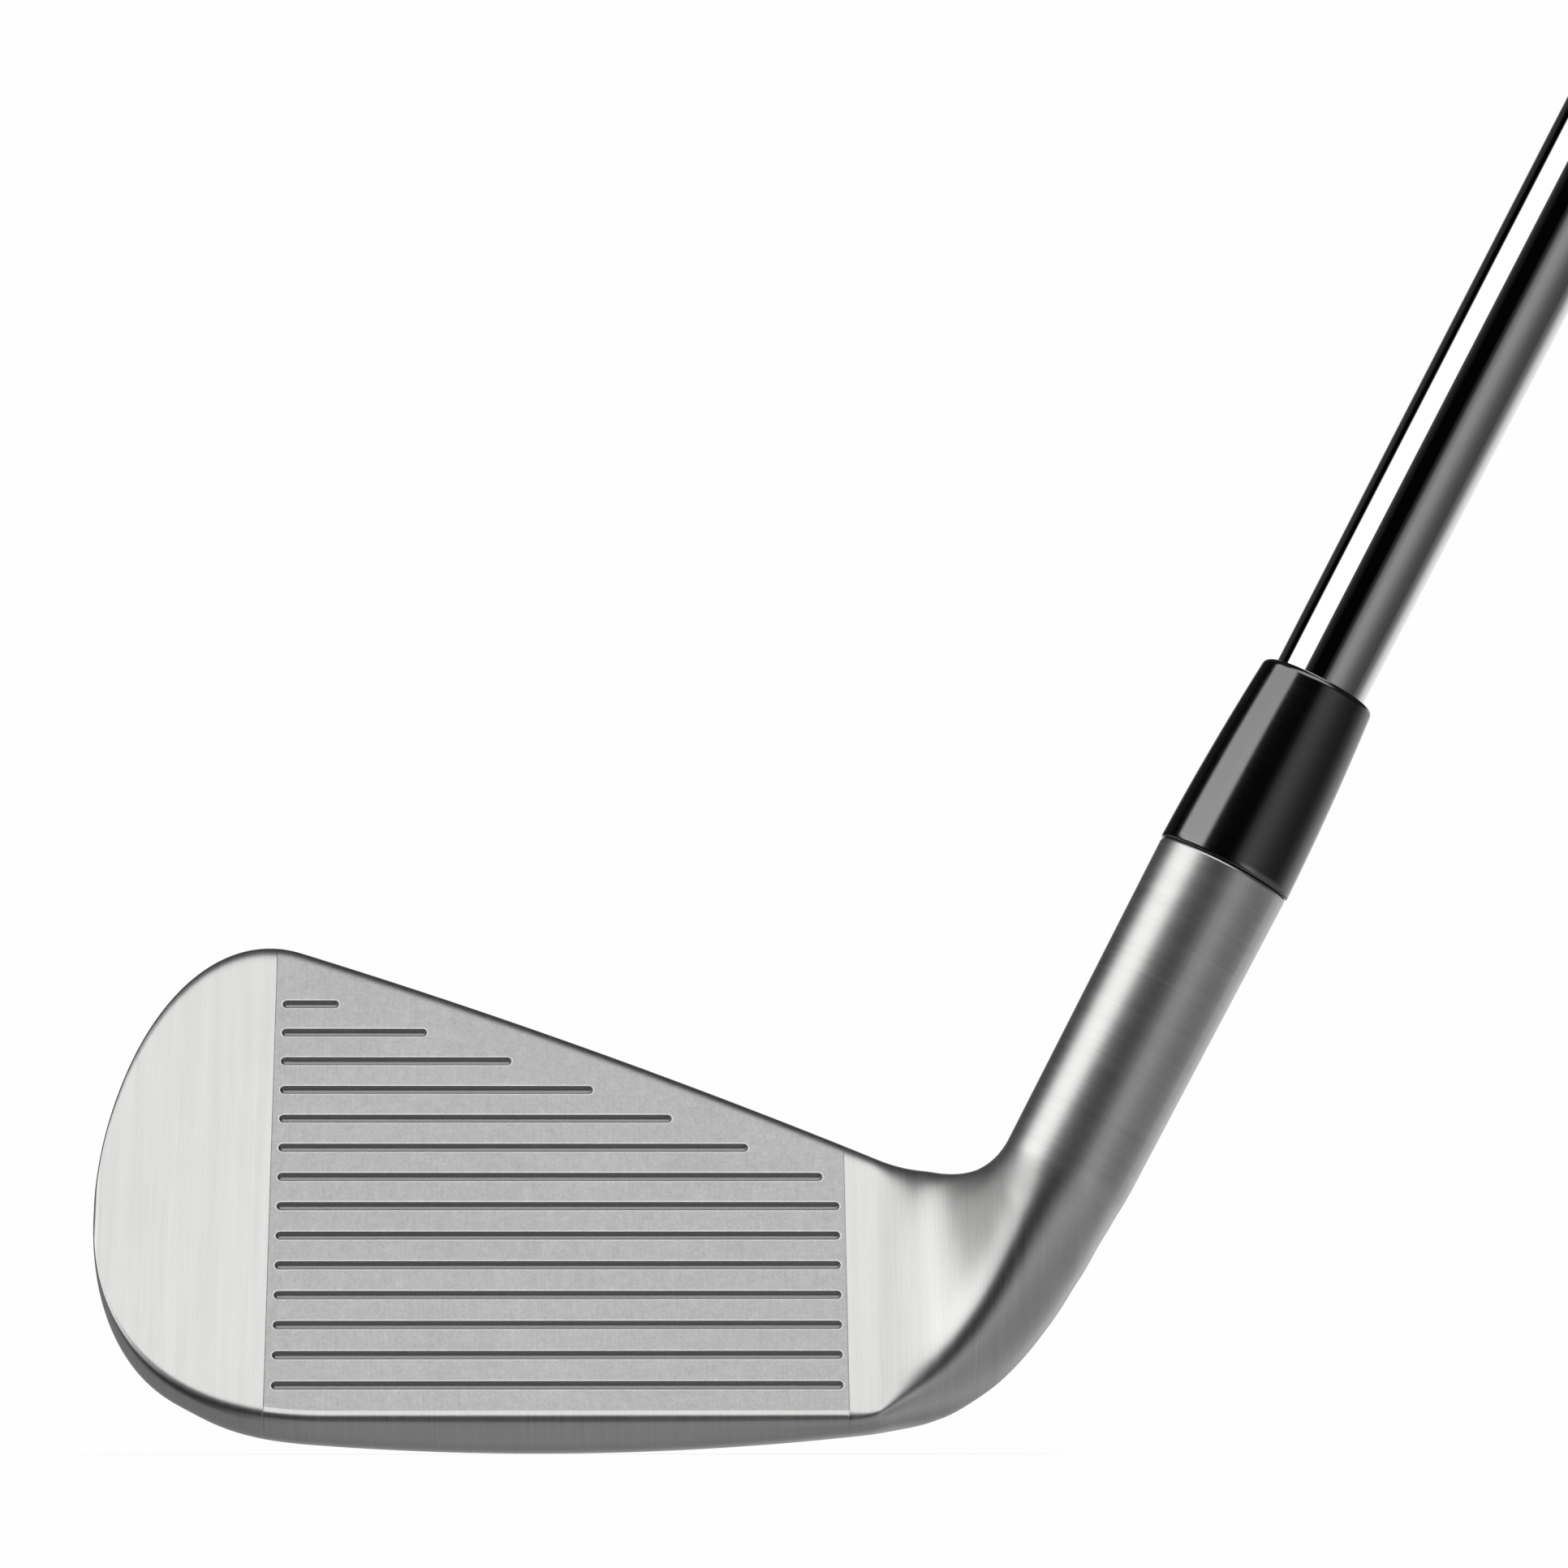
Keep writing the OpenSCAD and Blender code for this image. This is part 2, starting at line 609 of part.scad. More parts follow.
head_body();
face_plate();
toe_weight();
heel_weight();
weight_caps();
face_damper();
badge_tape();
badge_base();
badge_plate();
tip_weight();
hosel_epoxy();
ferrule();
shaft();
shaft_band();
grip_tape();
grip();
grip_cap();
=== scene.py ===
"""A golf iron: forged head with a milled face plate, ferrule, stepped steel shaft and rubber grip.

The sole rests on z = 0 and the shaft axis passes through the origin, leaning to +X. The toe
points to -X, the face looks to -Y and up. Shapes are worked out in mm and become metres in
make_object. A place on the blade is (x, up, back): up the face from the leading edge, and back
behind the face. A place on the round parts is a height along the shaft axis and a radius.
"""
import math
import bpy
import bmesh
import numpy as np
from mathutils import Matrix, Vector
from mathutils.geometry import delaunay_2d_cdt


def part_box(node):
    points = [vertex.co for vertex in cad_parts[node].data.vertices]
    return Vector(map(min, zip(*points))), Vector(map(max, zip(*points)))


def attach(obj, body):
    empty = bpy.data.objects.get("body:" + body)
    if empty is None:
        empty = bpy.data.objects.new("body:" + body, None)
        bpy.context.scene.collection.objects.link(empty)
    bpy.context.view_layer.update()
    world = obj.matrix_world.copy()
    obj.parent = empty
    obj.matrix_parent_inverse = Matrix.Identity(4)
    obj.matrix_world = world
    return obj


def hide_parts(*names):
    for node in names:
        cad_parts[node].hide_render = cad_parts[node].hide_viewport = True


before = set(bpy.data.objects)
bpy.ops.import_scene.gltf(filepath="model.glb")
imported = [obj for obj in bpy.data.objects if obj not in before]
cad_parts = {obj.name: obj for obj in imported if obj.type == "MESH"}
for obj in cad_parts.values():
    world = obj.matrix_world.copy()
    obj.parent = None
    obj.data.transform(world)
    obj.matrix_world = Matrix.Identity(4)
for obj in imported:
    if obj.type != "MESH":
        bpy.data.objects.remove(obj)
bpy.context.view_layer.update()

# ---------------------------------------------------------------- dimensions, mm and degrees
CLUB_LEN = 940.0
LIE, LOFT = 62.3, 28.3                   # shaft from the ground, face from the vertical
EDGE_AHEAD, EDGE_Z = 4.0, 3.6            # leading edge: ahead of the shaft axis, above the ground
TOE_X = -81.1
TOE_MID = 23.5                           # height on the face at which the toe end closes
TOP_MID, TOP_MID_X = 41.2, -30           # height of the top line at one station
TOP_FALL, TOP_CURVE = 0.424, 0.001       # its slope there and its curvature
TOPLINE_W, SOLE_W, SOLE_R, MUSCLE_H = 5.8, 22.0, 290.0, 11.0
PLATE_T, PLATE_SINK = 2.3, 0.06
PLATE_GAP = 0.02
GROOVE_N, GROOVE_PITCH, GROOVE_UP, GROOVE_W = 14, 3.35, 3.5, 0.85
GROOVE_MOUTH = 0.34                      # added to the groove's width at the face
GROOVE_STEPS = [                         # added to the groove's width, depth
    (0.06, 0.02), (-0.04, 0.08), (-0.34, 0.34), (-0.48, 0.40), (-0.6, 0.42)]
RIM_W, CAVITY_UP = 5.6, 16.0             # rim round the cavity, height of its lower ledge
RIM_ROUND, FLOOR_ROUND = 0.55, 0.6
CAVITY_FLOOR = PLATE_T + 1.2
CAVITY_STEPS = 72
PORTS = [(-61.0, -46.0), (-18.5, -18.5001)]   # x of the two end centres; the heel port is round
PORT_BACK, PORT_W, PORT_DEPTH, PORT_BEVEL = 9.0, 7.6, 9.0, 0.15
CAP_W = PORT_W - 0.1
BADGE_BACK, BADGE_T, BADGE_PLATE_T = CAVITY_FLOOR + 0.3, 1.6, 0.8
SLOT_XS, SLOT_W, SLOT_DEPTH, SLOT_TILT = (-64.0, -59.5, -55.0), 1.5, 0.6, 62
SLOT_MARGIN = 17.5                       # top line above the ledge, less this, is a slot's length

HOSEL_D, HOSEL_TOP, HOSEL_ROUND, SEAT_LEN, GLUE_T = 13.6, 64.6, 0.35, 32.0, 0.1
FERRULE_LEN, FERRULE_D, FERRULE_TOP_D, FERRULE_ROUND = 20.6, 13.85, 11.9, 0.7
TIP_D, TIP_TAPER, TIP_LEN, BUTT_D = 9.02, 0.0088, 230.0, 15.24
STEP_N, STEP_PITCH, STEP_LEN = 11, 34.0, 1.2
TIP_AT, BUTT_AT = HOSEL_TOP - SEAT_LEN, CLUB_LEN - 5.4
BAND_AT = TIP_AT + TIP_LEN + STEP_N * STEP_PITCH + 2
GRIP_LEN, GRIP_MOUTH_D, GRIP_BUTT_D = 262.0, 17.6, 26.2
CAP_H, CAP_D, VENT_D = 5, 28.0, 3.2
GRIP_TOP = CLUB_LEN - CAP_H
GRIP_AT = GRIP_TOP - GRIP_LEN

# the seat's ends are read from the CAD plate
_low, _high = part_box("face_plate")
PLATE_TOE, PLATE_HEEL = _low.x * 1000 - PLATE_GAP, _high.x * 1000 + PLATE_GAP

SIN_LOFT, COS_LOFT = math.sin(math.radians(LOFT)), math.cos(math.radians(LOFT))
AXIS_X, AXIS_Z = math.cos(math.radians(LIE)), math.sin(math.radians(LIE))
# The crotch is the line along Y between blade and hosel, round which the neck's sections turn
CROTCH_X, CROTCH_Z = 1.9, 34.2
AXIS_DEPTH = CROTCH_Z * AXIS_X - CROTCH_X * AXIS_Z     # from the crotch to the shaft axis
CROTCH_AT = CROTCH_X * AXIS_X + CROTCH_Z * AXIS_Z      # height of the crotch along the axis


def clamp01(value):
    return min(1.0, max(0.0, value))


def ease(value):
    t = clamp01(value)
    return t * t * (3 - 2 * t)


def mix(first, last, share):
    return first + (last - first) * share


def soft_max(first, second):
    return (first ** 5 + second ** 5) ** 0.2


def round_end(share, power, root=2.0):
    """0 to 1 along a superellipse quarter, flat at the start and steep at the end."""
    return 1 - (1 - share ** power) ** (1 / root)


# ---------------------------------------------------------------- blade outline
def face_yz(back, up):
    return np.array([-EDGE_AHEAD + up * SIN_LOFT + back * COS_LOFT,
                     EDGE_Z + up * COS_LOFT - back * SIN_LOFT])


def back_up(y, z):
    """The inverse of face_yz."""
    ahead, rise = y + EDGE_AHEAD, z - EDGE_Z
    return ahead * COS_LOFT - rise * SIN_LOFT, ahead * SIN_LOFT + rise * COS_LOFT


def face_point(x, up, back):
    y, z = face_yz(back, up)
    return (x, y, z)


def toe_share(x, start):
    return clamp01((start - x) / (start - TOE_X))


def top_line(x):
    return TOP_MID - TOP_FALL * (x - TOP_MID_X) - TOP_CURVE * (x - TOP_MID_X) ** 2


def top_line_x(up):
    """Where the top line has this height."""
    root = math.sqrt(TOP_FALL ** 2 + 4 * TOP_CURVE * (TOP_MID - up))
    return (root - TOP_FALL) / (2 * TOP_CURVE) + TOP_MID_X


def upper_edge(x):
    drop = (top_line(TOE_X) - TOE_MID) * round_end(toe_share(x, -61.5), 1.95, 1.8)
    heel_rise = 0.038 * (x + 4) ** 2 if x > -4 else 0
    return 0.5 + top_line(x) - drop + heel_rise


def lower_edge(x, start=-57):
    return mix(-0.6, TOE_MID, round_end(toe_share(x, start), 2.4, 2.4))


def sole_z(x):
    """The cambered sole, kept softly below the leading edge toward the toe."""
    t = toe_share(x, -58.5)
    camber = (x + 37) ** 2 / (2 * SOLE_R) + 22 * round_end(t, 2.9)
    limit = EDGE_Z + (lower_edge(x, -64) + 0.3 * (1 - t)) * COS_LOFT - 0.12
    return (camber + limit - math.hypot(camber - limit, 0.3 * clamp01(3 * t))) / 2


def toe_taper(x, length):
    """0 at the toe, rising as a quarter circle to 1 after length."""
    return math.sqrt(1 - (1 - clamp01((x - TOE_X) / length)) ** 2)


def sole_depth(x):
    t = clamp01((-45 - x) / (-44.2 - TOE_X))
    return SOLE_W * math.sqrt(1 - t ** 2.2) * mix(0.45, 1, toe_taper(x, 3))


def corners(x, turn):
    """The section's seven corners, each (y, z) and its rounding, from the leading edge upward.

    The edges melt into the round hosel as turn grows.
    """
    melt = ease((turn + 7) / 16)
    taper = toe_taper(x, 3.5)
    toe_back = 0.7 * (1 - toe_taper(x, 0.9))
    edge = face_yz(toe_back, lower_edge(x))
    top_front = face_yz(toe_back, upper_edge(x))
    width = max(toe_back + 0.5, TOPLINE_W * taper)
    top_back = face_yz(width, upper_edge(x) - 0.35 * taper)
    z = sole_z(x)
    thick = clamp01((top_front[1] - edge[1]) / 28)
    depth = soft_max(sole_depth(x), (width + MUSCLE_H * thick * SIN_LOFT) / COS_LOFT)

    def low_corner(share, rise):
        return np.array([edge[0] + depth * share, z + rise])
    return [
        (edge, mix(1.3, 6, melt)),
        (top_front, mix(2.4, 3, melt)),
        (top_back, mix(1.8, 3.5, melt)),
        (low_corner(1, MUSCLE_H * thick), 3.2),
        (low_corner(0.985, 2.6 * thick), 2.6),
        (low_corner(0.70, 0.02), 5.5),
        (low_corner(mix(0.22, 0.42, melt), 0.02), 4.5)]


# ---------------------------------------------------------------- rings of the head's skin
# A ring is seven corner arcs, each followed by a straight run. Every point has an angle round
# the shaft axis, from the face side (0) over the toe side (90), used where it joins the hosel.
CORNER_ANGLES = [0, 74, 108, 196, 222, 262, 316, 360]
ARC_HALF = 9
ARC_STEPS = [12, 10, 12, 12, 9, 9, 9]
RUN_SHARES = [                            # places of the points along each run
    [0.006, 0.02] + list(np.linspace(0.05, 0.95, 27)) + [0.98, 0.994],
    [0.17, 0.34, 0.5, 0.67, 0.84],
    [0.01, 0.03] + list(np.linspace(0.07, 0.93, 20)) + [0.97, 0.99],
    [0.2, 0.5, 0.8],
    [0.2, 0.5, 0.8],
    [0.02, 0.1, 0.3, 0.5, 0.7, 0.9, 0.98],
    [0.17, 0.34, 0.5, 0.67, 0.84],
]
RING_ANGLES = []
SPANS = []                                # of each corner: arc start, arc end, last run point
for _i in range(7):
    _here, _next = CORNER_ANGLES[_i], CORNER_ANGLES[_i + 1]
    _start = len(RING_ANGLES)
    RING_ANGLES += [_here - ARC_HALF + 2 * ARC_HALF * j / ARC_STEPS[_i]
                    for j in range(ARC_STEPS[_i] + 1)]
    _end = len(RING_ANGLES) - 1
    RING_ANGLES += [mix(_here + ARC_HALF, _next - ARC_HALF, t) for t in RUN_SHARES[_i]]
    SPANS.append((_start, _end, len(RING_ANGLES) - 1))
RING_N = len(RING_ANGLES)
# the ring's points ahead of the plate's back plane, from the sole over the face to the top
FRONT = list(range(SPANS[6][1] + 3, RING_N)) + list(range(SPANS[1][1] + 4))
BACK_TOP, BACK_LOW = SPANS[2][1], SPANS[4][0]          # the back of the blade lies between these

HOSEL_BLEND = [                           # angle, where the blend to round starts and ends
    (0, -7, 15), (90, -3, 22), (180, -12, 25), (250, -5.5, 23.5), (316, -5.5, 22), (360, -7, 15)]
_angles, _starts, _ends = zip(*HOSEL_BLEND)
_around = np.array(RING_ANGLES) % 360
BLEND_START = np.interp(_around, _angles, _starts)
BLEND_END = np.interp(_around, _angles, _ends)
# how strongly each point takes part in the swelling of the underside
UNDERSIDE = [math.cos(math.radians(clamp01(abs(a - 278) / 62) * 90)) ** 2 for a in _around]


def hosel_radius(height):
    share = (height - CROTCH_AT) / (HOSEL_TOP - CROTCH_AT)
    return mix(HOSEL_D / 2 - 0.3, HOSEL_D / 2, share)


# the round section at the crotch: y, and depth below the crotch
ROUND_R = hosel_radius(CROTCH_AT)
ROUND_RING = [(-ROUND_R * math.cos(math.radians(a)), AXIS_DEPTH - ROUND_R * math.sin(math.radians(a)))
              for a in _around]


def cut_back(corner, other, rounding):
    """The place where the rounding of a corner starts, on the side toward other."""
    length = float(np.hypot(*(other - corner)))
    return corner + (other - corner) * (min(rounding, 0.46 * length) / max(1e-6, length))


def blade_ring(x, turn):
    found = corners(x, turn)
    ring = []
    for i in range(7):
        corner, rounding = found[i]
        after, after_rounding = found[(i + 1) % 7]
        start = cut_back(corner, found[i - 1][0], rounding)
        end = cut_back(corner, after, rounding)
        run_end = cut_back(after, corner, after_rounding)
        for j in range(ARC_STEPS[i] + 1):
            t = j / ARC_STEPS[i]
            ring.append(start * (1 - t) ** 2 + corner * 2 * t * (1 - t) + end * t * t)
        ring += [end + (run_end - end) * t for t in RUN_SHARES[i]]
    return ring


def meet_plate_plane(points):
    """Puts one point of each run beside the face on the plate's back plane."""
    for corner in (1, 6):
        first, last = SPANS[corner][1], (SPANS[corner][2] + 1) % RING_N
        back0, back1 = (back_up(points[e][0], CROTCH_Z - points[e][1])[0] for e in (first, last))
        t = (PLATE_T - back0) / (back1 - back0) if abs(back1 - back0) > 1e-6 else 0.5
        t = min(0.85, max(0.15, t))
        shares = (t / 3, 2 * t / 3, t, t + (1 - t) / 3, t + (1 - t) * 2 / 3)
        for j, share in enumerate(shares):
            points[first + 1 + j] = points[first] * (1 - share) + points[last] * share


def skin(place):
    """One ring: place < 0 is mm in x before the crotch, place > 0 degrees turned round it."""
    x, angle = CROTCH_X + min(0.0, place), math.radians(max(0.0, place))
    turn = place if place < 0 else place * 0.436
    reach = place if place < 0 else place * 0.5
    swell = 0.45 * math.exp(-(reach / 3.2) ** 2) - 0.22 * math.exp(-((place - 23) / 9) ** 2)
    points = np.zeros((RING_N, 2))        # y, and depth below the crotch
    for j, (y, z) in enumerate(blade_ring(x, turn)):
        depth = CROTCH_Z - z
        # the blend starts nearer the crotch where the section is nearer to it
        here = turn if place > 0 else place * 25 / max(4.0, depth)
        share = ease((here - BLEND_START[j]) / (BLEND_END[j] - BLEND_START[j]))
        round_y, round_depth = ROUND_RING[j]
        points[j] = (mix(y, round_y, share),
                     mix(depth, round_depth, share) + swell * UNDERSIDE[j])
    if place < 0 and x < -4.5:
        meet_plate_plane(points)
    return np.array([(x + depth * math.sin(angle), y, CROTCH_Z - depth * math.cos(angle))
                     for y, depth in points])


def blade_skin(x):
    return skin(x - CROTCH_X)


# ---------------------------------------------------------------- neck between blade and hosel
NECK_START = -3.9
HEEL_XS = list(np.linspace(-11.6, 1.4, 30))
NECK_XS = [x for x in HEEL_XS if x > NECK_START]
NECK_TURNS = [LIE * i / 32 for i in range(33)]
NECK_SMOOTH = 260
NECK_BUMPS = [                            # height, place in degrees, width of each swelling
    (0.12, 8, 5), (0.1, 45, 6), (-0.1, 57, 5), (0.1, 52, 5), (-0.12, 7, 4)]


def neck_bump(place):
    plateau = 0.1 * ease((place - 36) / 4) * (1 - ease((place - 42) / 9))
    return plateau + sum(height * math.exp(-((place - at) / width) ** 2)
                         for height, at, width in NECK_BUMPS)


def crotch_distance(p):
    """Straight down before the crotch line, radial round it."""
    return CROTCH_Z - p[2] if p[0] <= CROTCH_X else math.hypot(p[0] - CROTCH_X, CROTCH_Z - p[2])


def place_of(p):
    if p[0] <= CROTCH_X:
        return p[0] - CROTCH_X
    return math.degrees(math.atan2(p[0] - CROTCH_X, CROTCH_Z - p[2]))


def neck_rows():
    """The neck's rings, blended by repeated averaging, then brought back to their extents."""
    places = [x - CROTCH_X for x in NECK_XS] + NECK_TURNS
    rows = [skin(place) for place in places]
    grid = np.array([blade_skin(NECK_XS[0] - 0.448)] + rows + [rows[-1] * 2 - rows[-2]])
    nearest = [min(map(crotch_distance, row)) for row in rows]
    farthest = [max(map(crotch_distance, row)) for row in rows]
    weight = ([0.0] + [ease((x + 4.3) / 4.6) for x in NECK_XS]
              + [1 - ease((turn - 44) / 18) for turn in NECK_TURNS] + [0.0])
    weight = np.array(weight)[:, None, None]
    for _ in range(NECK_SMOOTH):
        mean = grid.copy()
        around = np.roll(grid, 1, 1)[1:-1] + np.roll(grid, -1, 1)[1:-1]
        mean[1:-1] = (grid[2:] + grid[:-2] + around) / 4
        grid = grid + 0.6 * weight * (mean - grid)
    for row in grid[1:-1]:
        distances = [crotch_distance(p) for p in row]
        near, far = min(distances), max(distances)
        near_place = place_of(row[distances.index(near)])
        far_place = place_of(row[distances.index(far)])
        low = float(np.interp(near_place, places, nearest))
        high = float(np.interp(far_place, places, farthest)) + neck_bump(far_place)
        for p, distance in zip(row, distances):
            wanted = low + (distance - near) * (high - low) / (far - near)
            if p[0] <= CROTCH_X:
                p[2] = CROTCH_Z - wanted
            else:
                p[0] = CROTCH_X + (p[0] - CROTCH_X) * wanted / distance
                p[2] = CROTCH_Z - (CROTCH_Z - p[2]) * wanted / distance
    return list(grid[1:-1])


# ---------------------------------------------------------------- mesh helpers
WELD = 0.0015


class Shape:
    """Vertices in mm and faces with a material index; loops of ids join into surfaces."""

    def __init__(self):
        self.points, self.faces, self.slots = [], [], []

    def add(self, points):
        start = len(self.points)
        self.points.extend([tuple(map(float, p)) for p in points])
        return list(range(start, start + len(points)))

    def at_back(self, loop, back):
        """Adds an (x, up) outline at one depth behind the face."""
        return self.add([face_point(x, up, back) for x, up in loop])

    def at_up(self, loop, up):
        """Adds an (x, back) outline at one height up the face."""
        return self.add([face_point(x, up, back) for x, back in loop])

    def face(self, ids, slot=0):
        self.faces.append(tuple(ids))
        self.slots.append(slot)

    def strip(self, first, second, slot=0, sides=None):
        """Joins two closed loops, on the given sides only if any are named."""
        for j in range(len(first)) if sides is None else sides:
            k = (j + 1) % len(first)
            self.face((first[j], first[k], second[k], second[j]), slot)

    def chain(self, loops, slot=0):
        for first, second in zip(loops, loops[1:]):
            self.strip(first, second, slot)

    def fill(self, outline, holes, lift, extra=()):
        """Triangulates a flat outline with holes; lift(p) places its points in space."""
        points, sides = [], []
        for loop in [outline, *holes]:
            start = len(points)
            points += [tuple(p) for p in loop]
            sides += [(start + i, start + (i + 1) % len(loop)) for i in range(len(loop))]
        points += [tuple(p) for p in extra]
        flat, _, triangles, *_ = delaunay_2d_cdt([Vector(p) for p in points], sides, [], 0, 1e-5)
        outline, holes = np.array(outline), [np.array(hole) for hole in holes]
        ids = self.add([lift((p.x, p.y)) for p in flat])
        for triangle in triangles:
            centre = np.mean([[flat[i].x, flat[i].y] for i in triangle], axis=0)
            if inside(centre, outline) and not any(inside(centre, hole) for hole in holes):
                self.face([ids[i] for i in triangle])


def inside(p, outline):
    x0, y0 = outline[:, 0], outline[:, 1]
    x1, y1 = np.roll(x0, -1), np.roll(y0, -1)
    crosses = (y0 > p[1]) != (y1 > p[1])
    with np.errstate(divide="ignore", invalid="ignore"):
        at = (x1 - x0) * (p[1] - y0) / (y1 - y0) + x0
    return np.count_nonzero(crosses & (p[0] < at)) % 2 == 1


def border(grid):
    """The outline of a grid of points given as rows."""
    return ([row[0] for row in grid] + grid[-1][1:-1]
            + [row[-1] for row in reversed(grid)] + grid[0][-2:0:-1])


def key(p):
    return (round(p[0], 3), round(p[1], 3))


def make_object(shape, name, materials, sharp=30, weighted=True):
    bm = bmesh.new()
    verts = [bm.verts.new((x * 0.001, y * 0.001, z * 0.001)) for x, y, z in shape.points]
    for ids, slot in zip(shape.faces, shape.slots):
        try:
            bm.faces.new([verts[i] for i in ids]).material_index = slot
        except ValueError:
            # guards against a face that is already there
            pass
    bmesh.ops.remove_doubles(bm, verts=bm.verts, dist=WELD * 0.001)
    bmesh.ops.dissolve_degenerate(bm, edges=bm.edges, dist=WELD * 0.0005)
    loose = [v for v in bm.verts if not v.link_faces]
    bmesh.ops.delete(bm, geom=loose, context="VERTS")
    bmesh.ops.recalc_face_normals(bm, faces=bm.faces)
    mesh = bpy.data.meshes.new(name)
    bm.to_mesh(mesh)
    bm.free()
    for material in materials:
        mesh.materials.append(material)
    mesh.polygons.foreach_set("use_smooth", [True] * len(mesh.polygons))
    mesh.set_sharp_from_angle(angle=math.radians(sharp))
    made = bpy.data.objects.new(name, mesh)
    bpy.context.scene.collection.objects.link(made)
    if weighted:
        normals = made.modifiers.new("normals", "WEIGHTED_NORMAL")
        normals.mode = "FACE_AREA"
        normals.keep_sharp = True
        normals.weight = 50
    return made


def on_axis(height, radius, angle):
    """A point round the shaft axis; angle runs from the face side (0) over the toe side (90)."""
    side = radius * math.sin(angle)
    return (height * AXIS_X - side * AXIS_Z, -radius * math.cos(angle),
            height * AXIS_Z + side * AXIS_X)


def circle_angles(count):
    return [2 * math.pi * k / count for k in range(count)]


def lathe(profile, segments=128, second_slot=(), close_start=False):
    """Turns (radius, height) points round the shaft axis; named bands take slot 1."""
    shape = Shape()
    rings = [shape.add([on_axis(height, radius, angle) for angle in circle_angles(segments)])
             for radius, height in profile]
    for i in range(len(rings) - 1):
        shape.strip(rings[i], rings[i + 1], slot=int(i in second_slot))
    if close_start:
        shape.face(rings[0])
    return shape


def arc(centre, radius, start, end, steps):
    angles = [math.radians(mix(start, end, i / steps)) for i in range(steps + 1)]
    return [(centre[0] + radius * math.cos(a), centre[1] + radius * math.sin(a)) for a in angles]


def stadium(x0, x1, mid, width, steps=12):
    radius = width / 2
    angles = [math.pi * i / steps for i in range(steps + 1)]
    return ([(x1 + radius * math.sin(a), mid - radius * math.cos(a)) for a in angles]
            + [(x0 - radius * math.sin(a), mid + radius * math.cos(a)) for a in angles])


# ---------------------------------------------------------------- cavity outline
def cavity_heel(inset):
    return -5 - inset * 0.4


def cavity_side(x, inset, level, toe_start, heel_start):
    """Rounds a long side at height level into the toe and heel ends of the cavity."""
    toe = clamp01((toe_start - x) / (-TOE_X + toe_start - inset))
    heel = clamp01((x - heel_start) / (cavity_heel(inset) - heel_start))
    return mix(mix(level, 24, round_end(toe, 2.4)), 20, round_end(heel, 2))


def cavity_top(x, inset):
    return cavity_side(x, inset, top_line(x) - inset * 1.06, toe_start=-58, heel_start=-16)


def cavity_bottom(x, inset):
    return cavity_side(x, inset, CAVITY_UP + (inset - RIM_W), toe_start=-62, heel_start=-14)


def cavity_loop(inset):
    """(x, up) points along the top from toe to heel and back along the bottom."""
    toe, heel = TOE_X + inset, cavity_heel(inset)
    xs = [mix(toe, heel, (1 - math.cos(math.pi * k / CAVITY_STEPS)) / 2)
          for k in range(CAVITY_STEPS + 1)]
    return ([(x, cavity_top(x, inset)) for x in xs]
            + [(x, cavity_bottom(x, inset)) for x in xs[-2:0:-1]])


_back_profiles = {}


def blade_back(x, up):
    """Depth of the blade's back surface behind the face."""
    station = round(x, 4)
    if station not in _back_profiles:
        ring = blade_skin(x)[BACK_TOP:BACK_LOW + 1]
        backs, ups = back_up(ring[:, 1], ring[:, 2])
        _back_profiles[station] = (ups[::-1], backs[::-1])
    return float(np.interp(up, *_back_profiles[station]))


# ---------------------------------------------------------------- head
BACK_START = -78.6                        # toeward of this the back is closed by the skin itself


def seat(ring):
    """The ring with its front drawn straight, as the floor of the plate's seat."""
    flat, points = ring.copy(), ring[FRONT]
    run = np.concatenate([[0], np.cumsum(np.linalg.norm(np.diff(points, axis=0), axis=1))])
    run /= run[-1]
    flat[FRONT] = points[0] + (points[-1] - points[0]) * run[:, None]
    return flat


def lip(ring):
    """The ring with its face side set back slightly, beside the plate."""
    lowered = ring.copy()
    for j in FRONT:
        back, up = back_up(lowered[j][1], lowered[j][2])
        if back < 1.2:
            lowered[j][1:] = face_yz(back + 0.03, up)
    return lowered


def blade_rows():
    """(x, ring) from the toe to the neck, with the plate's seat sunk between its two ends."""
    toe_xs = [TOE_X + 0.02 + 31 * (1 - math.cos(math.radians(90 * (i / 64) ** 1.15)))
              for i in range(64)]
    xs = toe_xs + list(np.linspace(-49.2, -12.4, 24)) + [x for x in HEEL_XS if x <= NECK_START]
    xs = [x for x in xs if abs(x - PLATE_TOE) > 0.25 and abs(x - PLATE_HEEL) > 0.2]
    xs = sorted(xs + [PLATE_TOE - 0.09, PLATE_HEEL + 0.09])
    toe, heel = blade_skin(PLATE_TOE), blade_skin(PLATE_HEEL)
    return ([(x, blade_skin(x)) for x in xs if x < PLATE_TOE]
            + [(PLATE_TOE, lip(toe)), (PLATE_TOE, seat(toe))]
            + [(x, seat(blade_skin(x))) for x in xs if PLATE_TOE < x < PLATE_HEEL]
            + [(PLATE_HEEL, seat(heel)), (PLATE_HEEL, lip(heel))]
            + [(x, blade_skin(x)) for x in xs if x > PLATE_HEEL])


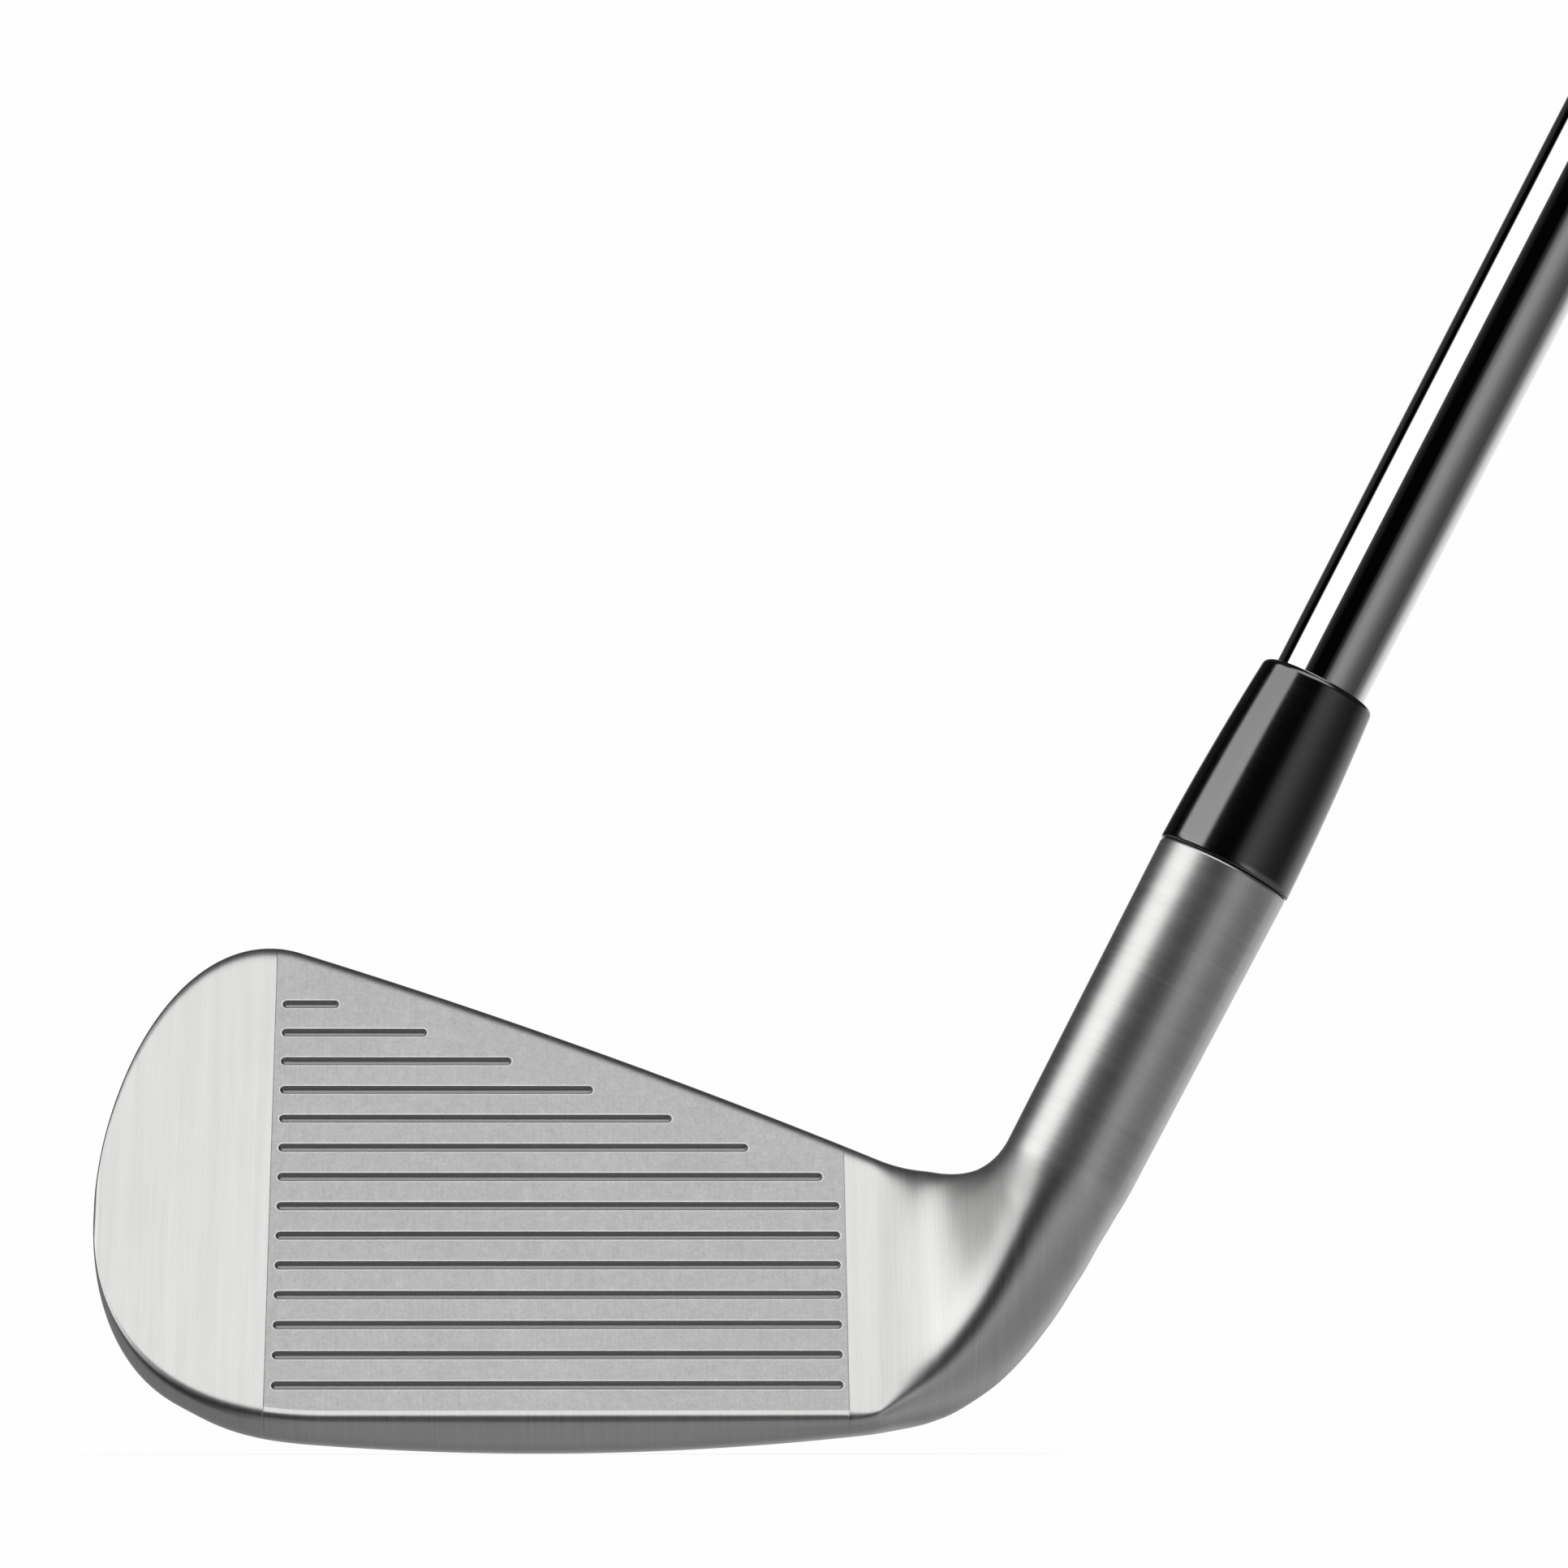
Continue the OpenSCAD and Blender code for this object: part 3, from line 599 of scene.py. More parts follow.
def add_back(shape, rows):
    """The back of the blade round the cavity's mouth."""
    rows = [(x, ring[BACK_TOP:BACK_LOW + 1]) for x, ring in dict(rows).items()]
    grid = [[(x, back_up(p[1], p[2])[1]) for p in ring] for x, ring in rows]
    on_skin = {key(flat): p for flats, (_, ring) in zip(grid, rows) for flat, p in zip(flats, ring)}
    grown = np.array(cavity_loop(RIM_W - RIM_ROUND - 0.35))
    extra = [p for row in grid[1:-1] for p in row[1:-1] if not inside(p, grown)]

    def lift(p):
        known = on_skin.get(key(p))
        return known if known is not None else face_point(p[0], p[1], blade_back(*p))
    shape.fill(border(grid), [cavity_loop(RIM_W - RIM_ROUND)], lift, extra)


def add_cavity(shape):
    """Rim round, wall, floor round and floor; the ledge is left open and filled with its ports."""
    loops = []
    for angle in np.linspace(0, math.pi / 2, 7):
        sink = RIM_ROUND * (1 - math.cos(angle))
        outline = cavity_loop(RIM_W - RIM_ROUND + RIM_ROUND * math.sin(angle))
        loops.append([(x, up, blade_back(x, up) - sink) for x, up in outline])
    wall = len(loops) - 1
    for angle in np.linspace(0, math.pi / 2, 6):
        back = CAVITY_FLOOR + FLOOR_ROUND * (1 - math.sin(angle))
        outline = cavity_loop(RIM_W + FLOOR_ROUND * (1 - math.cos(angle)))
        loops.append([(x, up, back) for x, up in outline])
    ids = [shape.add([face_point(*p) for p in loop]) for loop in loops]
    outer, inner = loops[wall], loops[wall + 1]
    count = len(outer)
    ledge = [j for j in range(CAVITY_STEPS + 1, count - 1)
             if all(-66.5 < outer[k][0] < -13.9 for k in (j, j + 1))]
    for i in range(len(loops) - 1):
        sides = [j for j in range(count) if i != wall or j not in ledge]
        shape.strip(ids[i], ids[i + 1], sides=sides)
    shape.face(ids[-1])
    picked = slice(ledge[0], ledge[-1] + 2)
    add_ledge(shape, outer[picked], inner[picked])


def add_ledge(shape, outer, inner):
    """The cavity's lower ledge between two rows of (x, up, back), with its two weight ports."""
    outline = [(x, back) for x, _, back in outer + inner[::-1]]
    known = {key((p[0], p[2])): face_point(*p) for p in outer + inner}
    ports = [[stadium(x0, x1, PORT_BACK, PORT_W + grow, 20) for grow in (2 * PORT_BEVEL, 0)]
             for x0, x1 in PORTS]

    def lift(p, sink=0):
        return face_point(p[0], cavity_bottom(p[0], RIM_W) - sink, p[1])
    shape.fill(outline, [mouth for mouth, _ in ports], lambda p: known.get(key(p), lift(p)))
    for mouth, wall in ports:
        loops = [shape.add([lift(p) for p in mouth]),
                 shape.add([lift(p, PORT_BEVEL) for p in wall]),
                 shape.at_up(wall, CAVITY_UP - PORT_DEPTH)]
        shape.chain(loops)
        shape.face(loops[-1])


def shaft_radius(height):
    """Radius of the shaft's tapered tip section."""
    return (TIP_D + TIP_TAPER * (height - TIP_AT)) / 2


def add_hosel(shape, first):
    """The hosel's outside and bore, from the neck's last ring."""
    def bore(height):
        return shaft_radius(height) + GLUE_T
    profile = [(hosel_radius(height), height)
               for height in np.linspace(CROTCH_AT + 1, HOSEL_TOP - 0.4, 22)]
    profile += arc((HOSEL_D / 2 - HOSEL_ROUND, HOSEL_TOP - HOSEL_ROUND), HOSEL_ROUND, 0, 90, 6)
    profile += [(bore(HOSEL_TOP) + 0.2, HOSEL_TOP), (bore(HOSEL_TOP), HOSEL_TOP - 0.2),
                (bore(HOSEL_TOP - 20), HOSEL_TOP - 20)]
    rings = [shape.add([on_axis(height, radius, math.radians(a)) for a in RING_ANGLES])
             for radius, height in profile]
    shape.chain([first] + rings)
    shape.face(rings[-1])


def head_shape():
    shape = Shape()
    blade = blade_rows()
    rings = [ring for _, ring in blade] + neck_rows()
    ids = [shape.add(ring) for ring in rings]
    first, last = sum(x < BACK_START for x, _ in blade) - 1, len(blade) - 1
    around = [j for j in range(RING_N) if not BACK_TOP <= j < BACK_LOW]
    for k in range(len(rings) - 1):
        shape.strip(ids[k], ids[k + 1], sides=around if first <= k < last else None)
    toe_tip = shape.add([rings[0].mean(0) - np.array([0.04, 0, 0])])[0]
    for j in range(RING_N):
        shape.face((toe_tip, ids[0][j], ids[0][(j + 1) % RING_N]))
    add_back(shape, blade[first:])
    add_cavity(shape)
    add_hosel(shape, ids[-1])
    return shape


# ---------------------------------------------------------------- face plate
FACE_SLOT, GROOVE_PAINTED_SHADE_SLOT, SIDE_SLOT, LIP_HIGHLIGHT_SLOT = range(4)


def add_groove(shape, up):
    """One stepped groove; gives its outline on the face."""
    toe = PLATE_TOE + 1.15
    heel = min(PLATE_HEEL - 1.0, top_line_x(up + 5.2))
    mouth = stadium(toe, heel, up, GROOVE_W + GROOVE_MOUTH)
    before = shape.at_back(mouth, PLATE_SINK)
    # The mouth of each groove takes the lighter lip steel, a painted highlight; the steps below take
    # the darker groove steel, painted shade.
    for i, (widen, depth) in enumerate(GROOVE_STEPS):
        step = shape.at_back(stadium(toe, heel, up, GROOVE_W + widen), PLATE_SINK + depth)
        shape.strip(before, step, slot=GROOVE_PAINTED_SHADE_SLOT if i else LIP_HIGHLIGHT_SLOT)
        before = step
    shape.face(before, GROOVE_PAINTED_SHADE_SLOT)
    return mouth


def plate_shape():
    shape = Shape()
    toe, heel = PLATE_TOE + PLATE_GAP, PLATE_HEEL - PLATE_GAP
    xs = sorted([toe, toe + 0.09, heel - 0.09, heel]
                + list(np.linspace(toe + 0.6, heel - 0.4, 70)))
    # the face itself lies between these two places of a row
    low, high = FRONT.index(SPANS[0][1]), FRONT.index(SPANS[1][0])
    rows = []
    for x in xs:
        ring = blade_skin(x)[FRONT]
        sink = PLATE_SINK + (0.03 if x in (toe, heel) else 0)
        for p in ring:
            back, up = back_up(p[1], p[2])
            p[1:] = face_yz(min(max(back, sink), PLATE_T - 0.005), up)
        rows.append(ring)
    ids = [shape.add(row) for row in rows]
    last = len(rows) - 2
    for k in range(last + 1):
        shape.strip(ids[k], ids[k + 1], slot=SIDE_SLOT, sides=range(low))
        shape.strip(ids[k], ids[k + 1], slot=FACE_SLOT, sides=range(high, len(FRONT)))
        if k in (0, last):
            shape.strip(ids[k], ids[k + 1], sides=range(low, high))
    shape.face(ids[0], SIDE_SLOT)
    shape.face(ids[-1], SIDE_SLOT)
    grid = [[(xs[k], back_up(p[1], p[2])[1]) for p in rows[k][low:high + 1]]
            for k in range(1, last + 1)]
    holes = [add_groove(shape, GROOVE_UP + i * GROOVE_PITCH) for i in range(GROOVE_N)]
    shape.fill(border(grid), holes, lambda p: face_point(p[0], p[1], PLATE_SINK))
    return shape


# ---------------------------------------------------------------- parts behind the face
def slab(outline, back0, back1, bevel, holes=()):
    """A plate with a rounded rear edge and blind slots; outlines take an inset or a growth."""
    shape = Shape()
    loops = [shape.at_back(outline(0), back0), shape.at_back(outline(0), back1 - bevel)]
    for i in range(1, 6):
        angle = math.pi / 2 * i / 5
        loops.append(shape.at_back(outline(bevel * (1 - math.cos(angle))),
                                   back1 - bevel + bevel * math.sin(angle)))
    shape.chain(loops)
    shape.face(loops[0])
    chamfer = 0.12
    for hole in holes:
        mouth = shape.at_back(hole(chamfer), back1)
        wall = shape.at_back(hole(0), back1 - chamfer)
        floor_loop = shape.at_back(hole(0), back1 - SLOT_DEPTH)
        shape.strip(mouth, wall)
        shape.strip(wall, floor_loop, slot=1)
        shape.face(floor_loop, 1)
    mouths = [hole(chamfer) for hole in holes]
    shape.fill(outline(bevel), mouths, lambda p: face_point(p[0], p[1], back1))
    return shape


def slanted_slot(x):
    """Outline of a slanted slot half way up the cavity, as a function of how far it is grown."""
    along = np.array([math.cos(math.radians(SLOT_TILT)), math.sin(math.radians(SLOT_TILT))])
    across = np.array([-along[1], along[0]])
    middle = np.array([x, mix(cavity_bottom(x, RIM_W), cavity_top(x, RIM_W), 0.5)])
    length = top_line(x) - CAVITY_UP - SLOT_MARGIN

    def outline(grow):
        radius = SLOT_W / 2 + grow
        points = []
        for sign in (1, -1):
            end = middle + sign * along * length / 2
            for i in range(9):
                angle = math.pi * i / 8
                points.append(tuple(end + sign * (along * math.sin(angle) * radius)
                                    - sign * across * math.cos(angle) * radius))
        return points
    return outline


def badge_base_shape():
    return slab(lambda inset: cavity_loop(RIM_W + 0.35 + inset),
                BADGE_BACK, BADGE_BACK + BADGE_T, bevel=0.4)


def badge_plate_shape():
    start = BADGE_BACK + BADGE_T
    return slab(lambda inset: cavity_loop(RIM_W + 3.2 + inset), start, start + BADGE_PLATE_T,
                bevel=0.22, holes=[slanted_slot(x) for x in SLOT_XS])


def port_caps_shape():
    """Two port caps with a shallow groove near the edge and two small round holes each."""
    shape = Shape()
    top = CAVITY_UP - 0.05
    edge = [                              # inset, sink below the top
        (0, 0.2), (0.06, 0.06), (0.2, 0), (0.75, 0), (0.85, 0.14), (1.15, 0.14), (1.25, 0)]
    hole_steps = [(0.62, 0), (0.52, 0.1), (0.52, 0.7)]          # radius, sink
    for (x0, x1), spread in zip(PORTS, (4.6, 1.15)):
        loops = [shape.at_up(stadium(x0, x1, PORT_BACK, CAP_W, 20), CAVITY_UP - 1.2)]
        loops += [shape.at_up(stadium(x0, x1, PORT_BACK, CAP_W - 2 * inset, 20), top - sink)
                  for inset, sink in edge]
        shape.chain(loops)
        shape.face(loops[0])
        holes = []
        for sign in (-1, 1):
            middle = (x0 + x1) / 2 + sign * spread
            circles = [[(middle + radius * math.cos(a), PORT_BACK + radius * math.sin(a))
                        for a in circle_angles(20)] for radius, _ in hole_steps]
            holes.append(circles[0])
            loops = [shape.at_up(circle, top - sink)
                     for circle, (_, sink) in zip(circles, hole_steps)]
            shape.chain(loops)
            shape.face(loops[-1])
        shape.fill(stadium(x0, x1, PORT_BACK, CAP_W - 2.5, 20), holes,
                   lambda p: face_point(p[0], top, p[1]))
    return shape


# ---------------------------------------------------------------- round parts along the axis
def shaft_profile():
    tip_end_d = TIP_D + TIP_TAPER * TIP_LEN
    growth = (BUTT_D - tip_end_d) / STEP_N
    profile = [(TIP_D / 2 - 0.3, TIP_AT), (TIP_D / 2 - 0.05, TIP_AT + 0.1),
               (TIP_D / 2, TIP_AT + 0.4)]
    profile += [(shaft_radius(TIP_AT + t), TIP_AT + t) for t in np.linspace(2, TIP_LEN - 0.4, 24)]
    for i in range(STEP_N):
        start = TIP_AT + TIP_LEN + i * STEP_PITCH
        radius0, radius1 = (tip_end_d + growth * i) / 2, (tip_end_d + growth * (i + 1)) / 2
        profile += [(mix(radius0, radius1, ease(t)), start + STEP_LEN * t)
                    for t in (0, 0.15, 0.3, 0.45, 0.6, 0.75, 0.9, 1.0)]
        profile += [(radius1, start + t) for t in (1.6, 6, STEP_PITCH * 0.5, STEP_PITCH - 0.5)]
    radius, inner = BUTT_D / 2, BUTT_D / 2 - 0.42
    return profile + [(radius, BUTT_AT - 0.3), (radius - 0.12, BUTT_AT),
                      (inner, BUTT_AT), (inner, BUTT_AT - 8)]


def ferrule_profile():
    low, high = HOSEL_TOP + 0.03, HOSEL_TOP + FERRULE_LEN
    radius, top_radius = FERRULE_D / 2, FERRULE_TOP_D / 2

    def bore(height):
        return shaft_radius(height) + 0.02
    profile = [(bore(low) + 0.4, low), (radius - 0.3, low), (radius - 0.12, low + 0.03),
               (radius - 0.03, low + 0.12), (radius, low + 0.3)]
    profile += [(mix(radius, top_radius, 0.35 * t + 0.65 * t * t),
                 mix(low + 0.25, high - FERRULE_ROUND, t)) for t in np.linspace(0.03, 1, 34)]
    profile += arc((top_radius - FERRULE_ROUND, high - FERRULE_ROUND), FERRULE_ROUND, 8, 90, 9)
    return profile + [(bore(high) + 0.35, high), (bore(high) + 0.12, high - 0.08),
                      (bore(high), high - 0.3), (bore(high), high - 3)]


BAND_SILVER = (4, 8)                      # profile steps that make the two silver lines


def band_profile():
    heights = (0.1, 4, 5, 6.2, 7.2, 32.8, 34, 35, 39.9)
    steps = [(0.01, 0), (0.09, 0.02)] + [(0.12, h) for h in heights] + [(0.09, 39.98), (0.01, 40)]
    return [(BUTT_D / 2 + lift, BAND_AT + height) for lift, height in steps]


GRIP_SEGMENTS, GRIP_ROWS = 168, 620
FIELD_START, FIELD_PITCH = 12, 30.0       # patterned fields along the grip
FIELD_TURNS, FIELD_RISE = 24, 6.0         # crossing grooves: around, and mm of height per groove
MOUTH_RINGS = (3.2, 6.0)                  # starts of the two rings near the grip's mouth
MOUTH_RING_W = 1.2


def grip_cut(height, angles):
    """How deep the pattern cuts at a height above the grip's mouth, for each angle."""
    cut = np.zeros(GRIP_SEGMENTS)
    if FIELD_START < height < GRIP_LEN - 9:
        # a field of crossing grooves, then a plain band with one ring
        band = (height - FIELD_START) % FIELD_PITCH
        fade = ease((band - 0.6) / 1.0) * (1 - ease((band - 26.0) / 1.0))
        for sign in (1, -1):
            phase = (angles / (2 * math.pi) * FIELD_TURNS + sign * height / FIELD_RISE) % 1.0
            cut += 0.34 * np.clip(1 - np.abs(phase - 0.5) / 0.13, 0, 1) ** 0.6 * fade
        cut = np.minimum(cut, 0.38)
        if 27.6 < band < 29.4:
            cut += 0.22 * math.sin(math.pi * (band - 27.6) / 1.8)
    for start in MOUTH_RINGS:
        if start < height < start + MOUTH_RING_W:
            cut += 0.3 * math.sin(math.pi * (height - start) / MOUTH_RING_W)
    return cut


def grip_shape():
    shape = Shape()
    angles = np.arange(GRIP_SEGMENTS) * 2 * math.pi / GRIP_SEGMENTS
    mouth = GRIP_MOUTH_D / 2
    lead = [(BUTT_D / 2 + 0.02, 0.6), (BUTT_D / 2 + 0.1, 0), (mouth - 0.55, 0),
            (mouth - 0.25, 0.08), (mouth - 0.06, 0.28)]
    rings = [shape.add([on_axis(GRIP_AT + height, radius, a) for a in angles])
             for radius, height in lead]
    for i in range(GRIP_ROWS + 1):
        at = mix(GRIP_AT + 0.5, GRIP_TOP - 0.02, i / GRIP_ROWS)
        t = (at - GRIP_AT) / GRIP_LEN
        radius = mix(mouth, GRIP_BUTT_D / 2, 0.78 * t + 0.22 * t ** 3)
        cut = grip_cut(at - GRIP_AT, angles)
        rings.append(shape.add([on_axis(at, radius - c, a) for c, a in zip(cut, angles)]))
    rings.append(shape.add([on_axis(GRIP_TOP, GRIP_BUTT_D / 2 - 2, a) for a in angles]))
    shape.chain(rings)
    return shape


CAP_RIM = [                               # inset from the cap's radius, height
    (0.5, 0.35), (0.1, 0.9), (0, 1.5), (0, 2.2), (0.15, 2.8), (0.6, 3.4), (1.3, 3.95),
    (2.4, 4.45), (3.8, 4.8), (5.2, 4.95), (5.6, 4.9), (5.8, 4.65), (6.3, 4.65), (6.5, 4.9),
    (6.9, 4.97)]
CAP_MIDDLE = [                            # radius, height; ends down the vent
    (4.2, CAP_H), (3.9, 4.96), (3.75, 4.7), (3.3, 4.7), (3.1, 4.93), (2.2, 4.98),
    (VENT_D / 2 + 0.2, 4.93), (VENT_D / 2, 4.7), (VENT_D / 2, 0.1)]


def cap_profile():
    under = [(GRIP_BUTT_D / 2 - 2, 0.02), (GRIP_BUTT_D / 2 + 0.2, 0.02)]
    rim = [(CAP_D / 2 - inset, height) for inset, height in CAP_RIM]
    return [(radius, GRIP_TOP + height) for radius, height in under + rim + CAP_MIDDLE]


# ---------------------------------------------------------------- shader nodes
ALONG_X, ALONG_Y, ALONG_Z = (1.0, 0.0, 0.0), (0.0, 1.0, 0.0), (0.0, 0.0, 1.0)
FACE_UP, FACE_BACK = (0.0, SIN_LOFT, COS_LOFT), (0.0, COS_LOFT, -SIN_LOFT)
SHAFT_UP, SHAFT_TOEWARD = (AXIS_X, 0.0, AXIS_Z), (-AXIS_Z, 0.0, AXIS_X)
WHITE = (1, 1, 1, 1)


class Nodes:
    """Writes chains of shader nodes for a material or world."""

    def __init__(self, owner):
        owner.use_nodes = True
        self.tree = owner.node_tree
        self.tree.nodes.clear()

    def feed(self, node, inputs):
        for name, value in inputs.items():
            if isinstance(value, bpy.types.NodeSocket):
                self.tree.links.new(value, node.inputs[name])
            else:
                node.inputs[name].default_value = value

    def node(self, kind, inputs=None, **settings):
        made = self.tree.nodes.new("ShaderNode" + kind)
        for name, value in settings.items():
            setattr(made, name, value)
        self.feed(made, inputs or {})
        return made

    def math(self, operation, first, second=0.0):
        inputs = {0: first, 1: second, 2: 0.0}
        return self.node("Math", inputs, operation=operation).outputs[0]

    def add(self, first, second):
        return self.math("ADD", first, second)

    def mul(self, first, second):
        return self.math("MULTIPLY", first, second)

    def plus(self, base, extra, amount):
        """base + extra * amount"""
        return self.add(base, self.mul(extra, amount))

    def vary(self, base, *parts):
        """base, moved up and down by (noise, amount) parts."""
        moves = [self.mul(self.math("SUBTRACT", noise, 0.5), amount) for noise, amount in parts]
        total = moves[0]
        for move in moves[1:]:
            total = self.add(total, move)
        return self.add(base, total)

    def dot(self, vector, direction):
        inputs = {0: vector, 1: direction}
        return self.node("VectorMath", inputs, operation="DOT_PRODUCT").outputs["Value"]

    def stretch(self, *axes):
        """A vector of (coordinate, scale) pairs."""
        scaled = [self.mul(coordinate, scale) for coordinate, scale in axes]
        return self.node("CombineXYZ", dict(enumerate(scaled))).outputs[0]

    def noise(self, vector, scale=1.0, detail=2.0, rough=0.5):
        inputs = {"Vector": vector, "Scale": scale, "Detail": detail, "Roughness": rough}
        return self.node("TexNoise", inputs).outputs["Fac"]

    def ramp(self, value, over, give=(0.0, 1.0), kind="SMOOTHSTEP"):
        """Goes through the give pair while value goes through the over pair."""
        inputs = {"Value": value, "From Min": over[0], "From Max": over[1],
                  "To Min": give[0], "To Max": give[1]}
        return self.node("MapRange", inputs, interpolation_type=kind).outputs["Result"]

    def blend(self, share, first, second):
        return self.add(self.mul(first, self.math("SUBTRACT", 1.0, share)),
                        self.mul(second, share))

    def blend_color(self, share, first, second):
        inputs = {0: share, 6: (*first, 1.0), 7: (*second, 1.0)}
        return self.node("Mix", inputs, data_type="RGBA").outputs[2]

    def tinted(self, value, green, blue):
        """A grey with its green and blue scaled."""
        inputs = {0: value, 1: self.mul(value, green), 2: self.mul(value, blue)}
        return self.node("CombineColor", inputs).outputs[0]


class Finish(Nodes):
    """A material with a principled shader; at is the place on the object in mm."""

    def __init__(self, name):
        self.material = bpy.data.materials.new(name)
        super().__init__(self.material)
        self.shader = self.node("BsdfPrincipled")
        self.node("OutputMaterial", {0: self.shader.outputs[0]})
        inputs = {0: self.node("TexCoord").outputs["Object"], "Scale": 1000.0}
        self.at = self.node("VectorMath", inputs, operation="SCALE").outputs[0]

    def shaft_coordinates(self):
        """Height along the shaft, distance toeward of its axis, and y."""
        along = self.dot(self.at, SHAFT_UP)
        toeward = self.math("SUBTRACT", self.dot(self.at, SHAFT_TOEWARD), 0.0)
        return along, toeward, self.dot(self.at, ALONG_Y)

    def shade(self, color, roughness, height, depth, metallic=0.0):
        """Feeds the shader; depth is the bump's distance in metres."""
        bump = self.node("Bump", {"Strength": 1.0, "Distance": depth, "Height": height})
        self.feed(self.shader, {"Base Color": color, "Metallic": metallic,
                                "Roughness": roughness, "Normal": bump.outputs[0]})
        return self.material


# ---------------------------------------------------------------- materials
def brushed_steel():
    """Brushed up and down on the blade, and around on the hosel."""
    g = Finish("steel_brushed")
    along, toeward, y = g.shaft_coordinates()
    x, up, back = (g.dot(g.at, d) for d in (ALONG_X, FACE_UP, FACE_BACK))
    on_hosel = g.ramp(along, over=(23.0, 33.0))

    def brushing(blade, hosel, detail, rough):
        """blade and hosel give the noise scales across and along the strokes."""
        on_blade = g.stretch((x, blade[0]), (up, blade[1]), (back, blade[1]))
        around = g.stretch((along, hosel[0]), (toeward, hosel[1]), (y, hosel[1]))
        return g.blend(on_hosel, g.noise(on_blade, detail=detail, rough=rough),
                       g.noise(around, detail=detail, rough=rough))
    fine = brushing(blade=(5.2, 0.10), hosel=(5.0, 0.10), detail=4.0, rough=0.62)
    broad = brushing(blade=(0.9, 0.03), hosel=(0.8, 0.05), detail=3.0, rough=0.6)
    cloud = g.noise(g.at, scale=0.11, detail=3.0, rough=0.55)
    value = g.vary(0.725, (fine, 0.24), (broad, 0.13), (cloud, 0.05))
    return g.shade(color=g.tinted(value, green=0.997, blue=0.988), metallic=1.0,
                   roughness=g.vary(0.375, (fine, 0.12)),
                   height=g.plus(fine, broad, amount=0.5), depth=0.0000016)


def blasted_steel(name, base, rough):
    """Blasted grain with faint upright milling lines; base is its mean brightness."""
    g = Finish(name)
    x, up = g.dot(g.at, ALONG_X), g.dot(g.at, FACE_UP)
    grain = g.noise(g.at, scale=3.4, detail=3.0, rough=0.65)
    coarse = g.noise(g.at, scale=1.1)
    mill = g.noise(g.stretch((x, 4.2), (up, 0.16)), detail=3.0, rough=0.6)
    cloud = g.noise(g.at, scale=0.07, detail=3.0, rough=0.55)
    value = g.vary(base, (grain, 0.24), (mill, 0.10), (cloud, 0.06))
    return g.shade(color=g.tinted(value, green=0.998, blue=0.992), metallic=1.0,
                   roughness=g.vary(rough, (coarse, 0.1)),
                   height=g.plus(grain, mill, amount=0.35), depth=0.000008)


# Darker than the face steel: partly a duller cut finish, partly painted shade standing in for the
# shadow inside the grooves.
def groove_steel_painted_shade():
    g = Finish("steel_groove_painted_shade")
    grain = g.noise(g.at, scale=4.0, detail=3.0, rough=0.6)
    color = g.blend_color(grain, first=(0.34, 0.34, 0.34), second=(0.48, 0.48, 0.475))
    return g.shade(color=color, metallic=1.0, roughness=0.5, height=grain, depth=0.00001)


def mirror_chrome():
    """Chrome with a faint haze and fine lines along the shaft."""
    g = Finish("chrome_mirror")
    along, toeward, y = g.shaft_coordinates()
    haze = g.noise(g.stretch((along, 0.25), (toeward, 0.6), (y, 0.6)), detail=3.0, rough=0.6)
    line = g.noise(g.stretch((along, 0.05), (toeward, 3.0), (y, 3.0)))
    color = g.blend_color(haze, first=(0.93, 0.935, 0.94), second=(0.985, 0.987, 0.99))
    return g.shade(color=color, metallic=1.0, roughness=g.plus(0.025, haze, amount=0.035),
                   height=line, depth=0.0000004)


def gloss_plastic():
    """Black plastic with fine turning rings."""
    g = Finish("plastic_gloss_black")
    along, toeward, y = g.shaft_coordinates()
    ring = g.noise(g.stretch((along, 4.0), (toeward, 0.1), (y, 0.1)), detail=3.0, rough=0.6)
    spot = g.noise(g.at, scale=1.2)
    color = g.blend_color(spot, first=(0.0015,) * 3, second=(0.004,) * 3)
    g.feed(g.shader, {"IOR": 2.5})
    return g.shade(color=color, roughness=g.plus(0.10, ring, amount=0.09),
                   height=ring, depth=0.0000022)


def rubber(name, base, rough, grain, depth=0.00005):
    """A dark matt surface; base is its brightness, grain the noise scale."""
    g = Finish(name)
    fine = g.noise(g.at, scale=grain, detail=4.0, rough=0.6)
    cloud = g.noise(g.at, scale=0.08, detail=3.0, rough=0.6)
    share = g.ramp(g.add(g.mul(fine, 0.6), g.mul(cloud, 0.4)), over=(0.3, 0.7))
    color = g.blend_color(share, first=(base * 0.7,) * 3,
                          second=(base * 1.5, base * 1.5, base * 1.55))
    return g.shade(color=color, roughness=g.plus(rough - 0.08, fine, amount=0.16),
                   height=fine, depth=depth)


def speckled(name, dark, light, rough, grain, depth=0.000004, metallic=1.0, brush=None):
    """Two colours mixed by noise; brush gives (direction, scale) pairs that stretch it."""
    g = Finish(name)
    place = g.stretch(*[(g.dot(g.at, d), scale) for d, scale in brush]) if brush else g.at
    fine = g.noise(place, scale=grain, detail=4.0, rough=0.62)
    cloud = g.noise(g.at, scale=0.15)
    share = g.ramp(g.blend(0.3, fine, cloud), over=(0.25, 0.75))
    return g.shade(color=g.blend_color(share, dark, light), metallic=metallic,
                   roughness=g.plus(rough - 0.06, fine, amount=0.12), height=fine, depth=depth)


